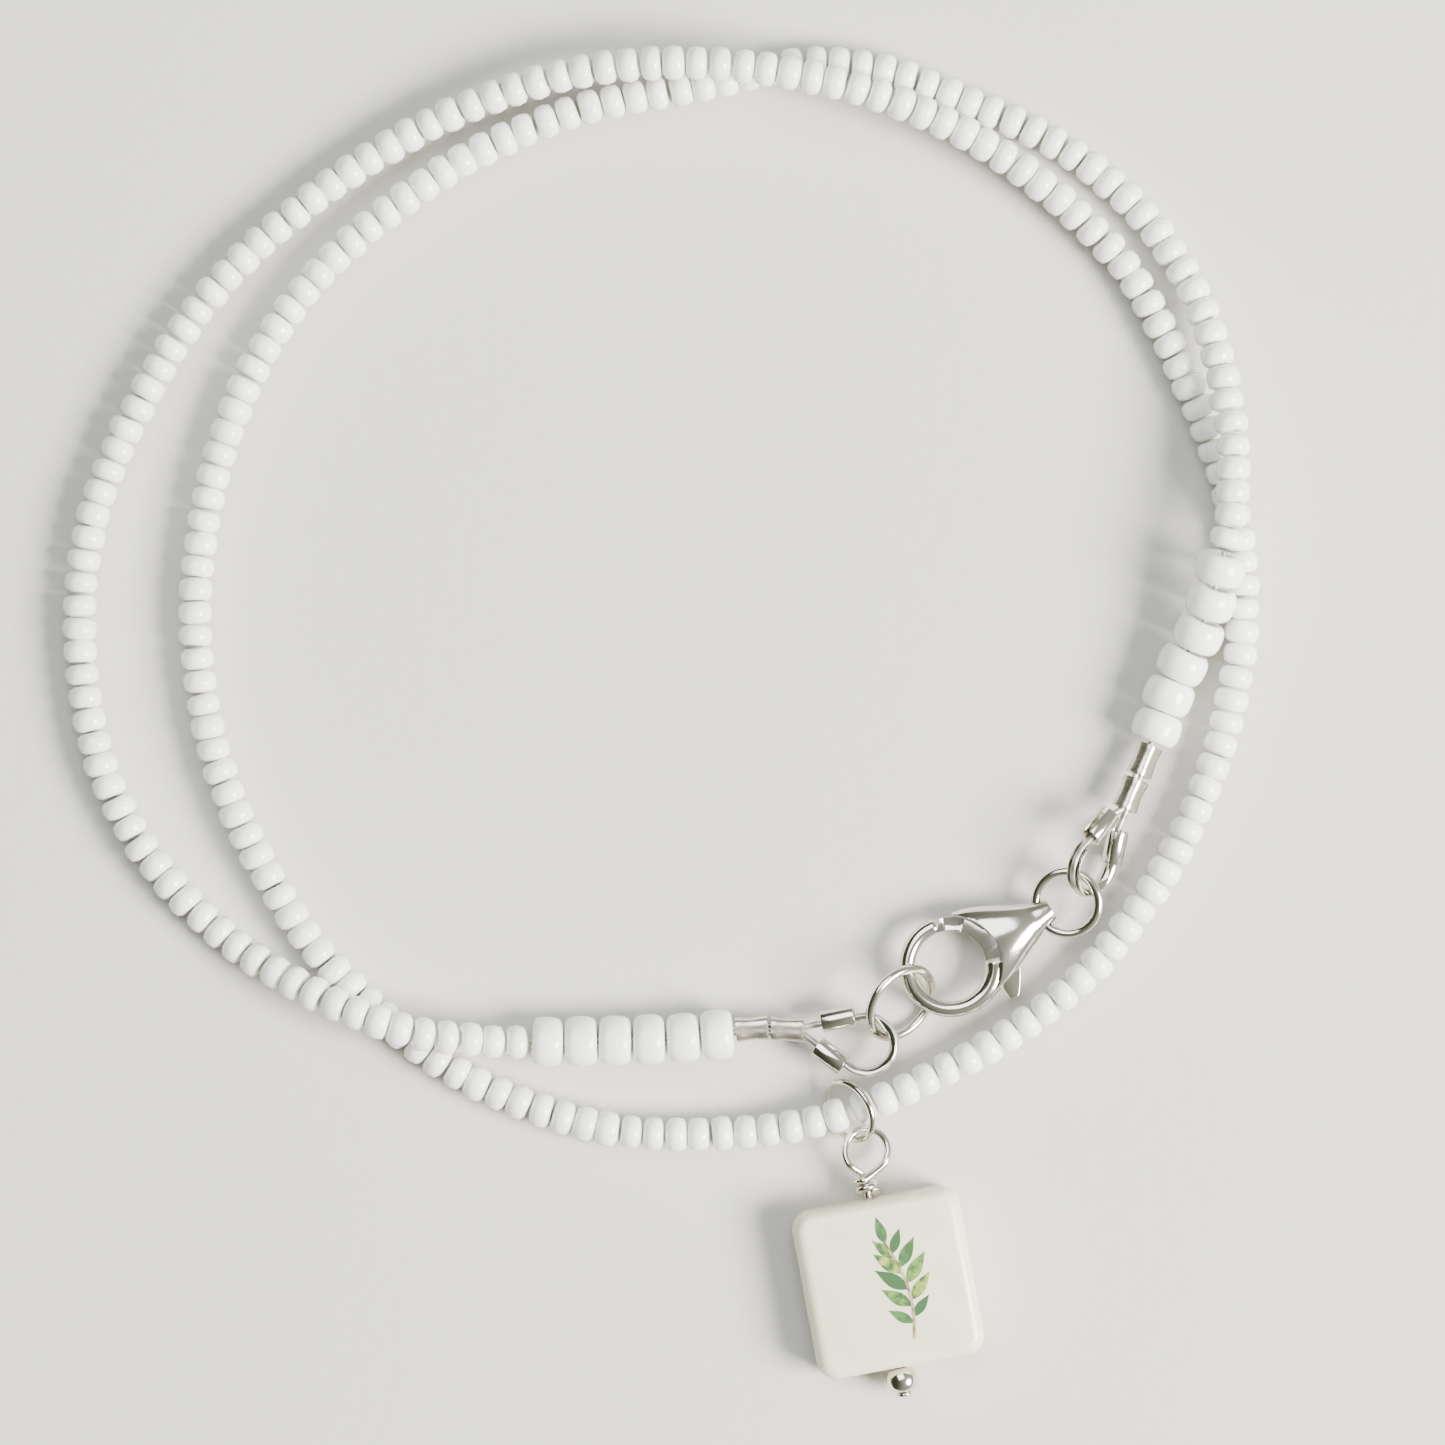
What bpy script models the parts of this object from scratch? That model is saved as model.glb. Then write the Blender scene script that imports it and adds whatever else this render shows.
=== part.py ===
"""A beaded necklace that lies loose on a flat surface in two turns.

One strand of white seed beads crosses itself three times. Six larger beads end it on each side. From there a
wire runs through two crimps and round a wire guard. A trigger clasp on a jump ring hooks into the end ring,
and a square shell tile hangs from a ring round the strand.

Frame: metres, +Z up, the surface is z = 0, and the origin is at the middle of the outline on the surface.
"""
import bisect
import math
from collections import namedtuple

import bmesh
import bpy
from mathutils import Matrix, Vector

MM = 0.001

# Beads
SEED_DIAMETER = 2.15 * MM
SEED_STRING_DIAMETER = 2.08 * MM
END_BEAD_DIAMETER = 3.0 * MM
END_BEAD_LENGTH = 1.88 * MM
END_BEAD_PITCH = 2.0 * MM
END_BEAD_HOLE = 1.0 * MM
END_BEAD_COUNT = 6
SEED_END_GAP = 0.15 * MM
STRING_STATION = 4.4 * MM
STRING_END = 1.3 * MM
MEETING_GAP = 0.3 * MM
BEAD_SIDES = 14
BEAD_PROFILE_STEPS = 7
BEAD_BELLY_POWER = 0.62
BEAD_FACE_POWER = 0.8

# Beading wire
BEADING_WIRE = 0.38 * MM
WIRE_LEG_OFFSET = 0.25 * MM
WIRE_IN_CHANNEL = 0.09 * MM
WIRE_STEPS_IN_BEADS = 8

# Rings
RING_SIDES = 6
RING_STEPS = 24

# Crimps
CRIMP_LENGTH = 1.9 * MM
CRIMP_WIDTH = 1.56 * MM
CRIMP_BORE = (0.57 * MM, 0.33 * MM)
CRIMP_SIDES = 16
CRIMP_FLATS = 8

# Wire guard: two short tubes and the half pipe between them, pipes given as outer and inner radius
GUARD_BEND = 1.79 * MM
GUARD_HALF_ANGLE = math.radians(23)
GUARD_TUBE_LENGTH = 1.95 * MM
GUARD_TUBE = (0.65 * MM, 0.5 * MM)
GUARD_CHANNEL = (0.46 * MM, 0.34 * MM)
GUARD_STEP = 0.1 * MM
GUARD_TUBE_SEAM = math.radians(14)
GUARD_CHANNEL_OPENING = math.radians(92)
GUARD_ARC_STEPS = 12
GUARD_SECTION_STEPS = 9

# Trigger clasp, in its own frame: centre of the hook at 0, eye at +X
HOOK_RADIUS = 2.52 * MM
HOOK_WIRE = 0.47 * MM
HOOK_TIP_ANGLE = math.radians(83)
HOOK_ROOT_ANGLE = math.radians(336)
HOOK_STEPS = 20
HOOK_SIDES = 10
HOOK_TIP_LENGTH = 0.14 * MM
HOOK_TIP_SHARE = 0.72
HOOK_ROOT_FROM = 0.66
HOOK_ROOT_SHIFT = 0.12 * MM
HOOK_ROOT_WIDER = 0.3
HOOK_ROOT_DEEPER = 0.75
SHELL_SIDES = 16
SHELL_DOME_POWER = 0.9
SHELL_MOUTH = 3.04 * MM
EYE_AT = 6.06 * MM
EYE_RADIUS = 0.49 * MM
EYE_TURN = math.radians(-3.5)
SLOT_HALF = 0.4 * MM
LEVER_HALF = 0.3 * MM
LEVER_INNER = 2.12 * MM
LEVER_OUTER = 2.92 * MM
GATE_GAP = 0.1 * MM
GATE_HEEL = math.radians(-20)
GATE_STEPS = 12
GATE_WEB_TOP = 0.95 * MM
PIVOT = Vector((3.75, 0.5, 0)) * MM
PIVOT_RADIUS = 0.28 * MM
PIVOT_CLEARANCE = 0.07 * MM
PIVOT_HALF = 0.9 * MM
CUTTER_REACH = 2.0 * MM

# Shell of the clasp from its mouth to its eye, in mm
ShellSection = namedtuple("ShellSection", "at half_width half_height")
SHELL_SECTIONS = [
    ShellSection(1.6, 2.72, 1.0),
    ShellSection(2.4, 2.55, 1.18),
    ShellSection(3.3, 2.2, 1.25),
    ShellSection(4.2, 1.76, 1.2),
    ShellSection(5.0, 1.36, 1.06),
    ShellSection(5.6, 1.06, 0.9),
    ShellSection(6.2, 0.84, 0.8),
    ShellSection(6.8, 0.66, 0.68),
]

# Outlines in mm: the slot for the lever, and the lever's hub, web and thumb nub from gate round to heel
SLOT_OUTLINE = [
    (1.7, 1.25), (4.6, 1.25), (5.0, 0.9), (5.0, -1.2), (4.75, -3.2), (1.93, -3.2),
    (1.93, -2.65), (2.2, -1.7), (2.12, -1.2), (1.85, -0.8), (1.7, -0.5),
]
WEB_OUTLINE = [
    (3.35, 1.02), (3.75, 1.14), (4.18, 1.0), (4.39, 0.5), (4.2, 0.0), (3.85, -1.2), (3.42, -2.35),
    (2.8, -3.32), (2.6, -3.5), (2.15, -3.42), (2.08, -2.7), (2.5, -1.5),
]

# Pendant
TILE_SIDE = 10.0 * MM
TILE_THICKNESS = 3.0 * MM
TILE_CORNER = 1.2 * MM
TILE_EDGE = 0.8 * MM
TILE_HOLE = 0.8 * MM
PIN_WIRE = 0.45 * MM
PIN_BEAD_DIAMETER = 1.9 * MM
PIN_BEAD_LENGTH = 1.4 * MM
PIN_BEAD_HOLE = 0.7 * MM
PIN_BEAD_GAP = 0.1 * MM
PIN_HEAD_DIAMETER = 0.96 * MM
PIN_HEAD_HEIGHT = 0.24 * MM
PIN_STEP = 0.02 * MM

# The strand's route in mm, from the face of the last bead at the right end to that at the left end
STRAND_ROUTE = [
    (28.8, -1.1), (30.2, 2.7), (31.8, 6.0), (33.0, 10.5), (33.5, 15.3), (32.9, 20.3), (31.7, 24.5),
    (29.8, 28.1), (27.1, 31.3), (23.1, 34.3), (18.2, 36.6), (13.2, 38.5), (8.2, 38.9), (2.2, 37.6),
    (-5.1, 36.1), (-12.2, 32.9), (-18.6, 28.1), (-22.6, 23.4), (-25.5, 17.4), (-27.2, 10.0), (-27.1, 2.1),
    (-25.0, -5.2), (-20.9, -12.4), (-16.1, -17.4), (-10.6, -21.2), (-2.8, -23.8), (5.5, -23.9),
    (11.1, -22.7), (15.7, -20.8), (20.9, -17.9), (25.9, -13.7), (30.8, -6.5), (33.6, 1.5), (34.2, 8.6),
    (33.0, 15.0), (30.0, 22.2), (26.8, 27.6), (20.8, 32.9), (14.0, 36.4), (7.0, 38.2), (-0.1, 38.7),
    (-6.8, 37.8), (-14.2, 35.0), (-21.1, 30.5), (-26.9, 24.9), (-31.2, 17.9), (-33.6, 11.7), (-34.2, 5.0),
    (-33.2, -1.6), (-30.1, -7.8), (-24.4, -13.4), (-16.3, -17.4), (-10.6, -18.5), (-6.8, -18.6),
    (0.0, -18.45), (4.3, -18.1),
]
ROUTE_STEPS = 12

# Where the strand rides over itself or over the pendant ring: along it, how much it rises, how far it slopes
Rise = namedtuple("Rise", "along height before after")
RISES = [
    Rise(along=15.4 * MM, height=2.35 * MM, before=13.5 * MM, after=19.0 * MM),
    Rise(along=165.4 * MM, height=0.51 * MM, before=7.0 * MM, after=7.0 * MM),
    Rise(along=252.3 * MM, height=2.35 * MM, before=28.0 * MM, after=28.0 * MM),
    Rise(along=341.7 * MM, height=2.35 * MM, before=12.0 * MM, after=10.0 * MM),
]
MEETING = RISES[1].along

# Rings: middle, heading of the axis that they tilt about, tilt that raises the left of it, mean radius, wire
Ring = namedtuple("Ring", "name centre heading tilt radius wire")
RINGS = [
    Ring("end_ring", Vector((14.08, -16.3, 1.94)) * MM, 53.2, 46.6, 2.265 * MM, 0.54 * MM),
    Ring("clasp_ring", Vector((23.84, -10.41, 2.01)) * MM, -50.8, 14.2, 1.86 * MM, 0.55 * MM),
    Ring("pendant_ring", Vector((11.06, -22.68, 1.59)) * MM, -64.2, 49.0, 1.82 * MM, 0.4 * MM),
]

# Clasp and guards: middle of the hook or bend, heading, and the guard's tilts along and about its own length
CLASP_AT = Vector((17.0, -14.18, 1.6)) * MM
CLASP_HEADING = math.radians(29.7)
Guard = namedtuple("Guard", "side centre heading rise roll tube_starts")
GUARDS = [
    Guard("left", Vector((12.07, -18.75, 1.86)) * MM, -12.3, 5.3, -0.7, (0.38 * MM, 0.38 * MM)),
    Guard("right", Vector((25.29, -8.25, 2.27)) * MM, -116.1, 6.5, 49.6, (0.14 * MM, 0.7 * MM)),
]

# Each end's crimps: middles of the inner and outer crimp, then where the two legs of wire part
CrimpPath = namedtuple("CrimpPath", "inner outer parting")
CRIMP_PATHS = {
    "left": CrimpPath(
        inner=Vector((5.35, -17.85, 1.5)) * MM,
        outer=Vector((7.42, -17.88, 1.5)) * MM,
        parting=Vector((8.5, -17.97, 1.5)) * MM,
    ),
    "right": CrimpPath(
        inner=Vector((28.43, -2.08, 1.54)) * MM,
        outer=Vector((27.57, -4.06, 1.72)) * MM,
        parting=Vector((27.15, -5.05, 1.81)) * MM,
    ),
}

# Pendant: middle of the tile, heading of its pin from top to bottom, middle of the eye
TILE_AT = Vector((13.35, -32.71, 1.5)) * MM
TILE_HEADING = math.radians(-79.5)
PIN_OFFSET = 0.24 * MM
EYE_CENTRE = Vector((12.08, -25.02, 1.45)) * MM
EYE_HALF_WIDTH = 1.27 * MM
EYE_HALF_LENGTH = 1.27 * MM
EYE_DIP = 0.2 * MM
EYE_ROLL = 0.34 * MM
EYE_START = math.radians(215)
EYE_SWEEP = math.radians(270)
EYE_STEPS = 13
WRAP_RADIUS = 0.5 * MM
WRAP_PITCH = 0.5 * MM
WRAP_TURNS = 1.75
WRAP_STEPS = 12
WRAP_START = 0.12 * MM
WRAP_CLEAR = 0.32 * MM


# Finishes
def finish(name, colour, metallic, roughness):
    """A Principled material with the piece's colour."""
    material = bpy.data.materials.new(name)
    material.use_nodes = True
    shader = material.node_tree.nodes["Principled BSDF"]
    shader.inputs["Base Color"].default_value = (*colour, 1.0)
    shader.inputs["Metallic"].default_value = metallic
    shader.inputs["Roughness"].default_value = roughness
    return material


def make_finishes():
    """The four finishes of the necklace."""
    return {
        "glass": finish("white_glass", (0.87, 0.87, 0.85), 0.0, 0.15),
        "silver": finish("sterling_silver", (0.86, 0.85, 0.81), 1.0, 0.18),
        "wire": finish("coated_beading_wire", (0.72, 0.72, 0.70), 0.6, 0.3),
        "shell": finish("mother_of_pearl", (0.80, 0.79, 0.70), 0.0, 0.25),
    }


# Helpers
def new_object(name, data, material, matrix=None):
    """Link an object with its material and its place."""
    piece = bpy.data.objects.new(name, data)
    bpy.context.scene.collection.objects.link(piece)
    if not data.materials:
        data.materials.append(material)
    if matrix is not None:
        piece.matrix_world = matrix
    return piece


def mesh_from(bm, name, smooth_angle=35.0):
    """Close a bmesh into a smooth-shaded mesh whose faces point out."""
    bmesh.ops.remove_doubles(bm, verts=bm.verts, dist=1e-7)
    bmesh.ops.recalc_face_normals(bm, faces=bm.faces)
    mesh = bpy.data.meshes.new(name)
    bm.to_mesh(mesh)
    bm.free()
    mesh.shade_smooth()
    mesh.set_sharp_from_angle(angle=math.radians(smooth_angle))
    return mesh


def smooth_curve(points, steps):
    """Points of a Catmull-Rom curve through the given points."""
    curve = []
    last = len(points) - 1
    for index in range(last):
        start, end = points[index], points[index + 1]
        before = points[index - 1] if index else start * 2 - end
        after = points[index + 2] if index + 2 <= last else end * 2 - start
        for step in range(steps):
            t = step / steps
            curve.append(
                (start * 2 + (end - before) * t
                 + (before * 2 - start * 5 + end * 4 - after) * t * t
                 + (start * 3 - before - end * 3 + after) * t ** 3) / 2
            )
    curve.append(points[last].copy())
    return curve


class Path:
    """A curve that is read by the distance along its plan."""

    def __init__(self, points):
        self.points = points
        self.marks = [0.0]
        for start, end in zip(points, points[1:]):
            self.marks.append(self.marks[-1] + (end - start).xy.length)
        self.length = self.marks[-1]

    def at(self, distance):
        """The point at a distance along the curve."""
        distance = min(max(distance, 0.0), self.length)
        index = min(max(bisect.bisect_right(self.marks, distance) - 1, 0), len(self.marks) - 2)
        span = self.marks[index + 1] - self.marks[index]
        return self.points[index].lerp(self.points[index + 1], (distance - self.marks[index]) / span)

    def heading(self, distance):
        """The unit direction of the curve there."""
        reach = 0.1 * MM
        return (self.at(distance + reach) - self.at(distance - reach)).normalized()


def ease(value):
    """0 to 1 with a soft start and end."""
    value = min(max(value, 0.0), 1.0)
    return value * value * (3 - 2 * value)


def facing(direction, up=Vector((0, 0, 1))):
    """Axes whose Z runs along a direction and whose X lies square to up."""
    z_axis = direction.normalized()
    x_axis = up.cross(z_axis).normalized()
    y_axis = z_axis.cross(x_axis)
    return Matrix((x_axis, y_axis, z_axis)).transposed()


def place(axes, origin):
    """A 4 x 4 matrix from axes and an origin."""
    return Matrix.Translation(origin) @ axes.to_4x4()


def wire_object(name, points, diameter, material, resolution, radii=None):
    """A round wire along points, with filled ends."""
    curve = bpy.data.curves.new(name, "CURVE")
    curve.dimensions = "3D"
    curve.bevel_depth = diameter / 2
    curve.bevel_resolution = resolution
    curve.use_fill_caps = True
    spline = curve.splines.new("POLY")
    spline.points.add(len(points) - 1)
    for index, point in enumerate(points):
        spline.points[index].co = (*point, 1.0)
        if radii:
            spline.points[index].radius = radii[index]
    return new_object(name, curve, material)


def cut(piece, cutter, operation="DIFFERENCE"):
    """Add a Boolean of another object, which stays as a hidden guide."""
    cutter.hide_render = True
    cutter.display_type = "WIRE"
    boolean = piece.modifiers.new(cutter.name, "BOOLEAN")
    boolean.operation = operation
    boolean.object = cutter


def loft(bm, rows):
    """Skin a row of closed sections and cap both ends."""
    for first, second in zip(rows, rows[1:]):
        for index in range(len(first)):
            following = (index + 1) % len(first)
            bm.faces.new((first[index], first[following], second[following], second[index]))
    bm.faces.new(rows[0])
    bm.faces.new(rows[-1])
    bmesh.ops.triangulate(bm, faces=bm.faces)


def prism(name, outline, half, material, matrix):
    """A flat piece with an outline in mm and a thickness of twice half."""
    bm = bmesh.new()
    low = [bm.verts.new((x * MM, y * MM, -half)) for x, y in outline]
    high = [bm.verts.new((x * MM, y * MM, half)) for x, y in outline]
    loft(bm, [low, high])
    return new_object(name, mesh_from(bm, name, 30.0), material, matrix)


def bar(name, radius, half, material, matrix, sides):
    """A round bar along Z, as far below the middle as above it."""
    bm = bmesh.new()
    rows = []
    for height in (-half, half):
        angles = [2 * math.pi * step / sides for step in range(sides)]
        rows.append([bm.verts.new((radius * math.cos(a), radius * math.sin(a), height)) for a in angles])
    loft(bm, rows)
    return new_object(name, mesh_from(bm, name), material, matrix)


# Strand
def strand_path():
    """The strand's middle line, on the surface and over its own crossings."""
    flat = Path(smooth_curve([Vector((x, y, 0)) * MM for x, y in STRAND_ROUTE], ROUTE_STEPS))
    beads = END_BEAD_COUNT * END_BEAD_PITCH
    points = []
    for point, mark in zip(flat.points, flat.marks):
        from_end = min(mark, flat.length - mark)
        seed = ease((from_end - beads) / (2 * END_BEAD_PITCH))
        height = (END_BEAD_DIAMETER + seed * (SEED_DIAMETER - END_BEAD_DIAMETER)) / 2
        for rise in RISES:
            reach = rise.before if mark < rise.along else rise.after
            away = abs(mark - rise.along) / reach
            if away < 1:
                height += rise.height * math.cos(math.pi * away / 2) ** 2
        points.append(point + Vector((0, 0, height)))
    return Path(points)


def add_seed_strings(path, materials):
    """The seed beads as two plain round strings that meet at the pendant ring."""
    beads = END_BEAD_COUNT * END_BEAD_PITCH + SEED_END_GAP
    spans = {
        "seed_strand_right": (beads, MEETING - MEETING_GAP / 2),
        "seed_strand_left": (MEETING + MEETING_GAP / 2, path.length - beads),
    }
    for name, (start, end) in spans.items():
        count = round((end - start) / STRING_STATION)
        marks = [start + (end - start) * step / count for step in range(count + 1)]
        marks[1:1] = [start + STRING_END]
        marks[-1:-1] = [end - STRING_END]
        wire_object(name, [path.at(mark) for mark in marks], SEED_STRING_DIAMETER, materials["glass"], 2)


def bead_mesh(name, diameter, length, hole):
    """A drilled round bead about Z: a full belly that turns in to the hole at both ends."""
    bm = bmesh.new()
    ring = []
    for step in range(BEAD_PROFILE_STEPS + 1):
        angle = math.pi * step / BEAD_PROFILE_STEPS - math.pi / 2
        belly = max(math.cos(angle), 0.0) ** BEAD_BELLY_POWER
        across = math.copysign(abs(math.sin(angle)) ** BEAD_FACE_POWER, math.sin(angle))
        radius = hole / 2 + (diameter - hole) / 2 * belly
        ring.append(bm.verts.new((radius, 0, across * length / 2)))
    edges = [bm.edges.new((ring[index - 1], ring[index])) for index in range(len(ring))]
    bmesh.ops.spin(
        bm, geom=ring + edges, axis=(0, 0, 1), cent=(0, 0, 0), angle=2 * math.pi, steps=BEAD_SIDES
    )
    return mesh_from(bm, name)


def add_end_beads(path, materials):
    """Six larger drilled beads at each end of the strand."""
    mesh = bead_mesh("end_bead", END_BEAD_DIAMETER, END_BEAD_LENGTH, END_BEAD_HOLE)
    for number in range(1, END_BEAD_COUNT + 1):
        along = (number - 0.5) * END_BEAD_PITCH
        for side, distance in (("right", along), ("left", path.length - along)):
            axes = facing(path.heading(distance))
            new_object(f"end_bead_{side}_{number}", mesh, materials["glass"], place(axes, path.at(distance)))


# Wire guards, crimps and the beading wire
def guard_matrix(guard):
    """The guard's frame: X from its legs to its bend, Y towards the leg that takes the wire first."""
    heading = Matrix.Rotation(math.radians(guard.heading), 4, "Z")
    rise = Matrix.Rotation(math.radians(-guard.rise), 4, "Y")
    roll = Matrix.Rotation(math.radians(-guard.roll), 4, "X")
    return Matrix.Translation(guard.centre) @ heading @ rise @ roll


def guard_line(guard, bend):
    """The guard's middle line from the far end of one tube round the bend to the other, in its own frame."""
    lean = GUARD_HALF_ANGLE
    legs = []
    for side, start in zip((1, -1), guard.tube_starts):
        back = Vector((-math.cos(lean), -math.sin(lean) * side, 0))
        touch = Vector((-math.sin(lean), math.cos(lean) * side, 0)) * bend
        reaches = (start + GUARD_TUBE_LENGTH, start + GUARD_STEP, start)
        legs.append([touch + back * reach for reach in reaches])
    arc = []
    sweep = math.pi + 2 * lean
    for step in range(GUARD_ARC_STEPS + 1):
        angle = math.pi / 2 + lean - sweep * step / GUARD_ARC_STEPS
        arc.append(Vector((math.cos(angle), math.sin(angle), 0)) * bend)
    return legs[0], arc, legs[1][::-1]


def guard_section(point, heading, pipe, opening):
    """A pipe wall as a C whose opening faces away from the bend."""
    outward = Vector((-heading.y, heading.x, 0))
    side = Vector((0, 0, 1))
    outer_radius, inner_radius = pipe
    steps = range(GUARD_SECTION_STEPS + 1)
    section = []
    for radius, order in ((outer_radius, steps), (inner_radius, reversed(steps))):
        for step in order:
            angle = opening + (2 * math.pi - 2 * opening) * step / GUARD_SECTION_STEPS
            section.append(point + (outward * math.cos(angle) + side * math.sin(angle)) * radius)
    return section


def guard_mesh(guard):
    """One wire guard: tube, half pipe round the bend, tube."""
    leg, arc, other = guard_line(guard, GUARD_BEND)
    points = leg + arc + other
    tube = (GUARD_TUBE, GUARD_TUBE_SEAM)
    channel = (GUARD_CHANNEL, GUARD_CHANNEL_OPENING)
    shapes = [tube] * 2 + [channel] * (len(arc) + 2) + [tube] * 2
    bm = bmesh.new()
    rows = []
    for index, (point, (pipe, opening)) in enumerate(zip(points, shapes)):
        before = points[max(index - 1, 0)]
        after = points[min(index + 1, len(points) - 1)]
        section = guard_section(point, (after - before).normalized(), pipe, opening)
        rows.append([bm.verts.new(corner) for corner in section])
    count = len(rows[0])
    for first, second in zip(rows, rows[1:]):
        for index in range(count):
            following = (index + 1) % count
            bm.faces.new((first[index], first[following], second[following], second[index]))
    half = count // 2
    for row in (rows[0], rows[-1]):
        for index in range(half - 1):
            bm.faces.new((row[index], row[index + 1], row[count - 2 - index], row[count - 1 - index]))
    return mesh_from(bm, "wire_guard", 50.0)


def add_guards(materials):
    """The left and the right wire guard."""
    for guard in GUARDS:
        new_object(f"wire_guard_{guard.side}", guard_mesh(guard), materials["silver"], guard_matrix(guard))


def crimp_mesh():
    """A pressed tube: eight flats outside and a flattened bore for two legs of wire."""
    bm = bmesh.new()
    flat_angle = 2 * math.pi / CRIMP_FLATS
    rows = []
    for height in (-CRIMP_LENGTH / 2, CRIMP_LENGTH / 2):
        outer, inner = [], []
        for step in range(CRIMP_SIDES):
            angle = 2 * math.pi * step / CRIMP_SIDES
            off_middle = (angle + flat_angle / 2) % flat_angle - flat_angle / 2
            radius = CRIMP_WIDTH / 2 * math.cos(flat_angle / 2) / math.cos(off_middle)
            outer.append(bm.verts.new((radius * math.cos(angle), radius * math.sin(angle), height)))
            bore = (CRIMP_BORE[0] * math.cos(angle), CRIMP_BORE[1] * math.sin(angle), height)
            inner.append(bm.verts.new(bore))
        rows.append((outer, inner))
    (low_outer, low_inner), (high_outer, high_inner) = rows
    for step in range(CRIMP_SIDES):
        following = (step + 1) % CRIMP_SIDES
        bm.faces.new((low_outer[step], low_outer[following], high_outer[following], high_outer[step]))
        bm.faces.new((low_inner[step], high_inner[step], high_inner[following], low_inner[following]))
        bm.faces.new((low_outer[step], low_inner[step], low_inner[following], low_outer[following]))
        bm.faces.new((high_outer[step], high_outer[following], high_inner[following], high_inner[step]))
    return mesh_from(bm, "crimp", 25.0)


def crimp_axes(direction, side):
    """Axes with Z along the crimp and X along the side on which the two legs lie."""
    z_axis = direction.normalized()
    x_axis = (side - z_axis * side.dot(z_axis)).normalized()
    return Matrix((x_axis, z_axis.cross(x_axis), z_axis)).transposed()


def wire_points(path, guard):
    """The beading wire: through the end beads, out along one leg, round the guard and back."""
    matrix = guard_matrix(guard)
    crimps = CRIMP_PATHS[guard.side]
    bead_end = END_BEAD_COUNT * END_BEAD_PITCH
    marks = [bead_end * (1 - step / WIRE_STEPS_IN_BEADS) for step in range(WIRE_STEPS_IN_BEADS + 1)]
    if guard.side == "left":
        marks = [path.length - mark for mark in marks]
    leg, arc, other = guard_line(guard, GUARD_BEND - WIRE_IN_CHANNEL)
    round_guard = [matrix @ point for point in leg[:1] + arc + other[-1:]]
    offset = matrix.to_3x3() @ Vector((0, WIRE_LEG_OFFSET, 0))
    out_legs = [point + offset for point in crimps]
    back_legs = [point - offset for point in reversed(crimps)]
    return [path.at(mark) for mark in marks] + out_legs + round_guard + back_legs


def add_crimps_and_wires(path, materials):
    """Two crimps at each end, and the wire that runs through them and round the guard."""
    mesh = crimp_mesh()
    for guard in GUARDS:
        side = guard_matrix(guard).to_3x3() @ Vector((0, 1, 0))
        crimps = CRIMP_PATHS[guard.side]
        last_bead = path.at(0.0 if guard.side == "right" else path.length)
        runs = ((1, crimps.inner, crimps.outer - last_bead), (2, crimps.outer, crimps.parting - crimps.inner))
        for number, centre, run in runs:
            matrix = place(crimp_axes(run, side), centre)
            new_object(f"crimp_{guard.side}_{number}", mesh, materials["silver"], matrix)
        name = f"beading_wire_{guard.side}"
        wire_object(name, wire_points(path, guard), BEADING_WIRE, materials["wire"], 1)


# Rings
def ring_matrix(ring):
    """Lay a ring flat, then raise the left side of its tilt axis."""
    heading = math.radians(ring.heading)
    axis = Vector((math.cos(heading), math.sin(heading), 0))
    return Matrix.Translation(ring.centre) @ Matrix.Rotation(math.radians(ring.tilt), 4, axis)


def add_rings(materials):
    """The three jump rings."""
    for ring in RINGS:
        bm = bmesh.new()
        corners = []
        for step in range(RING_SIDES):
            angle = 2 * math.pi * step / RING_SIDES
            across = ring.radius + ring.wire / 2 * math.cos(angle)
            corners.append(bm.verts.new((across, 0, ring.wire / 2 * math.sin(angle))))
        edges = [bm.edges.new((corners[index - 1], corners[index])) for index in range(RING_SIDES)]
        bmesh.ops.spin(
            bm, geom=corners + edges, axis=(0, 0, 1), cent=(0, 0, 0), angle=2 * math.pi, steps=RING_STEPS
        )
        new_object(ring.name, mesh_from(bm, ring.name, 80.0), materials["silver"], ring_matrix(ring))


# Clasp
def clasp_shell(material, matrix):
    """The clasp's shell as a domed teardrop that narrows to the eye."""
    bm = bmesh.new()
    rows = []
    for section in SHELL_SECTIONS:
        row = []
        for step in range(SHELL_SIDES):
            angle = 2 * math.pi * step / SHELL_SIDES
            dome = math.copysign(abs(math.sin(angle)) ** SHELL_DOME_POWER, math.sin(angle))
            corner = Vector((section.at, section.half_width * math.cos(angle), section.half_height * dome))
            row.append(bm.verts.new(corner * MM))
        rows.append(row)
    loft(bm, rows)
    return new_object("clasp_body", mesh_from(bm, "clasp_body"), material, matrix)


def hook_tip():
    """The middle of the hook's end face, and the direction that the face looks in, towards the pivot."""
    outward = Vector((math.cos(HOOK_TIP_ANGLE), math.sin(HOOK_TIP_ANGLE), 0))
    along = Vector((-outward.y, outward.x, 0))
    middle = outward * HOOK_RADIUS - along * HOOK_TIP_LENGTH
    return middle, (PIVOT - middle).normalized()


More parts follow.
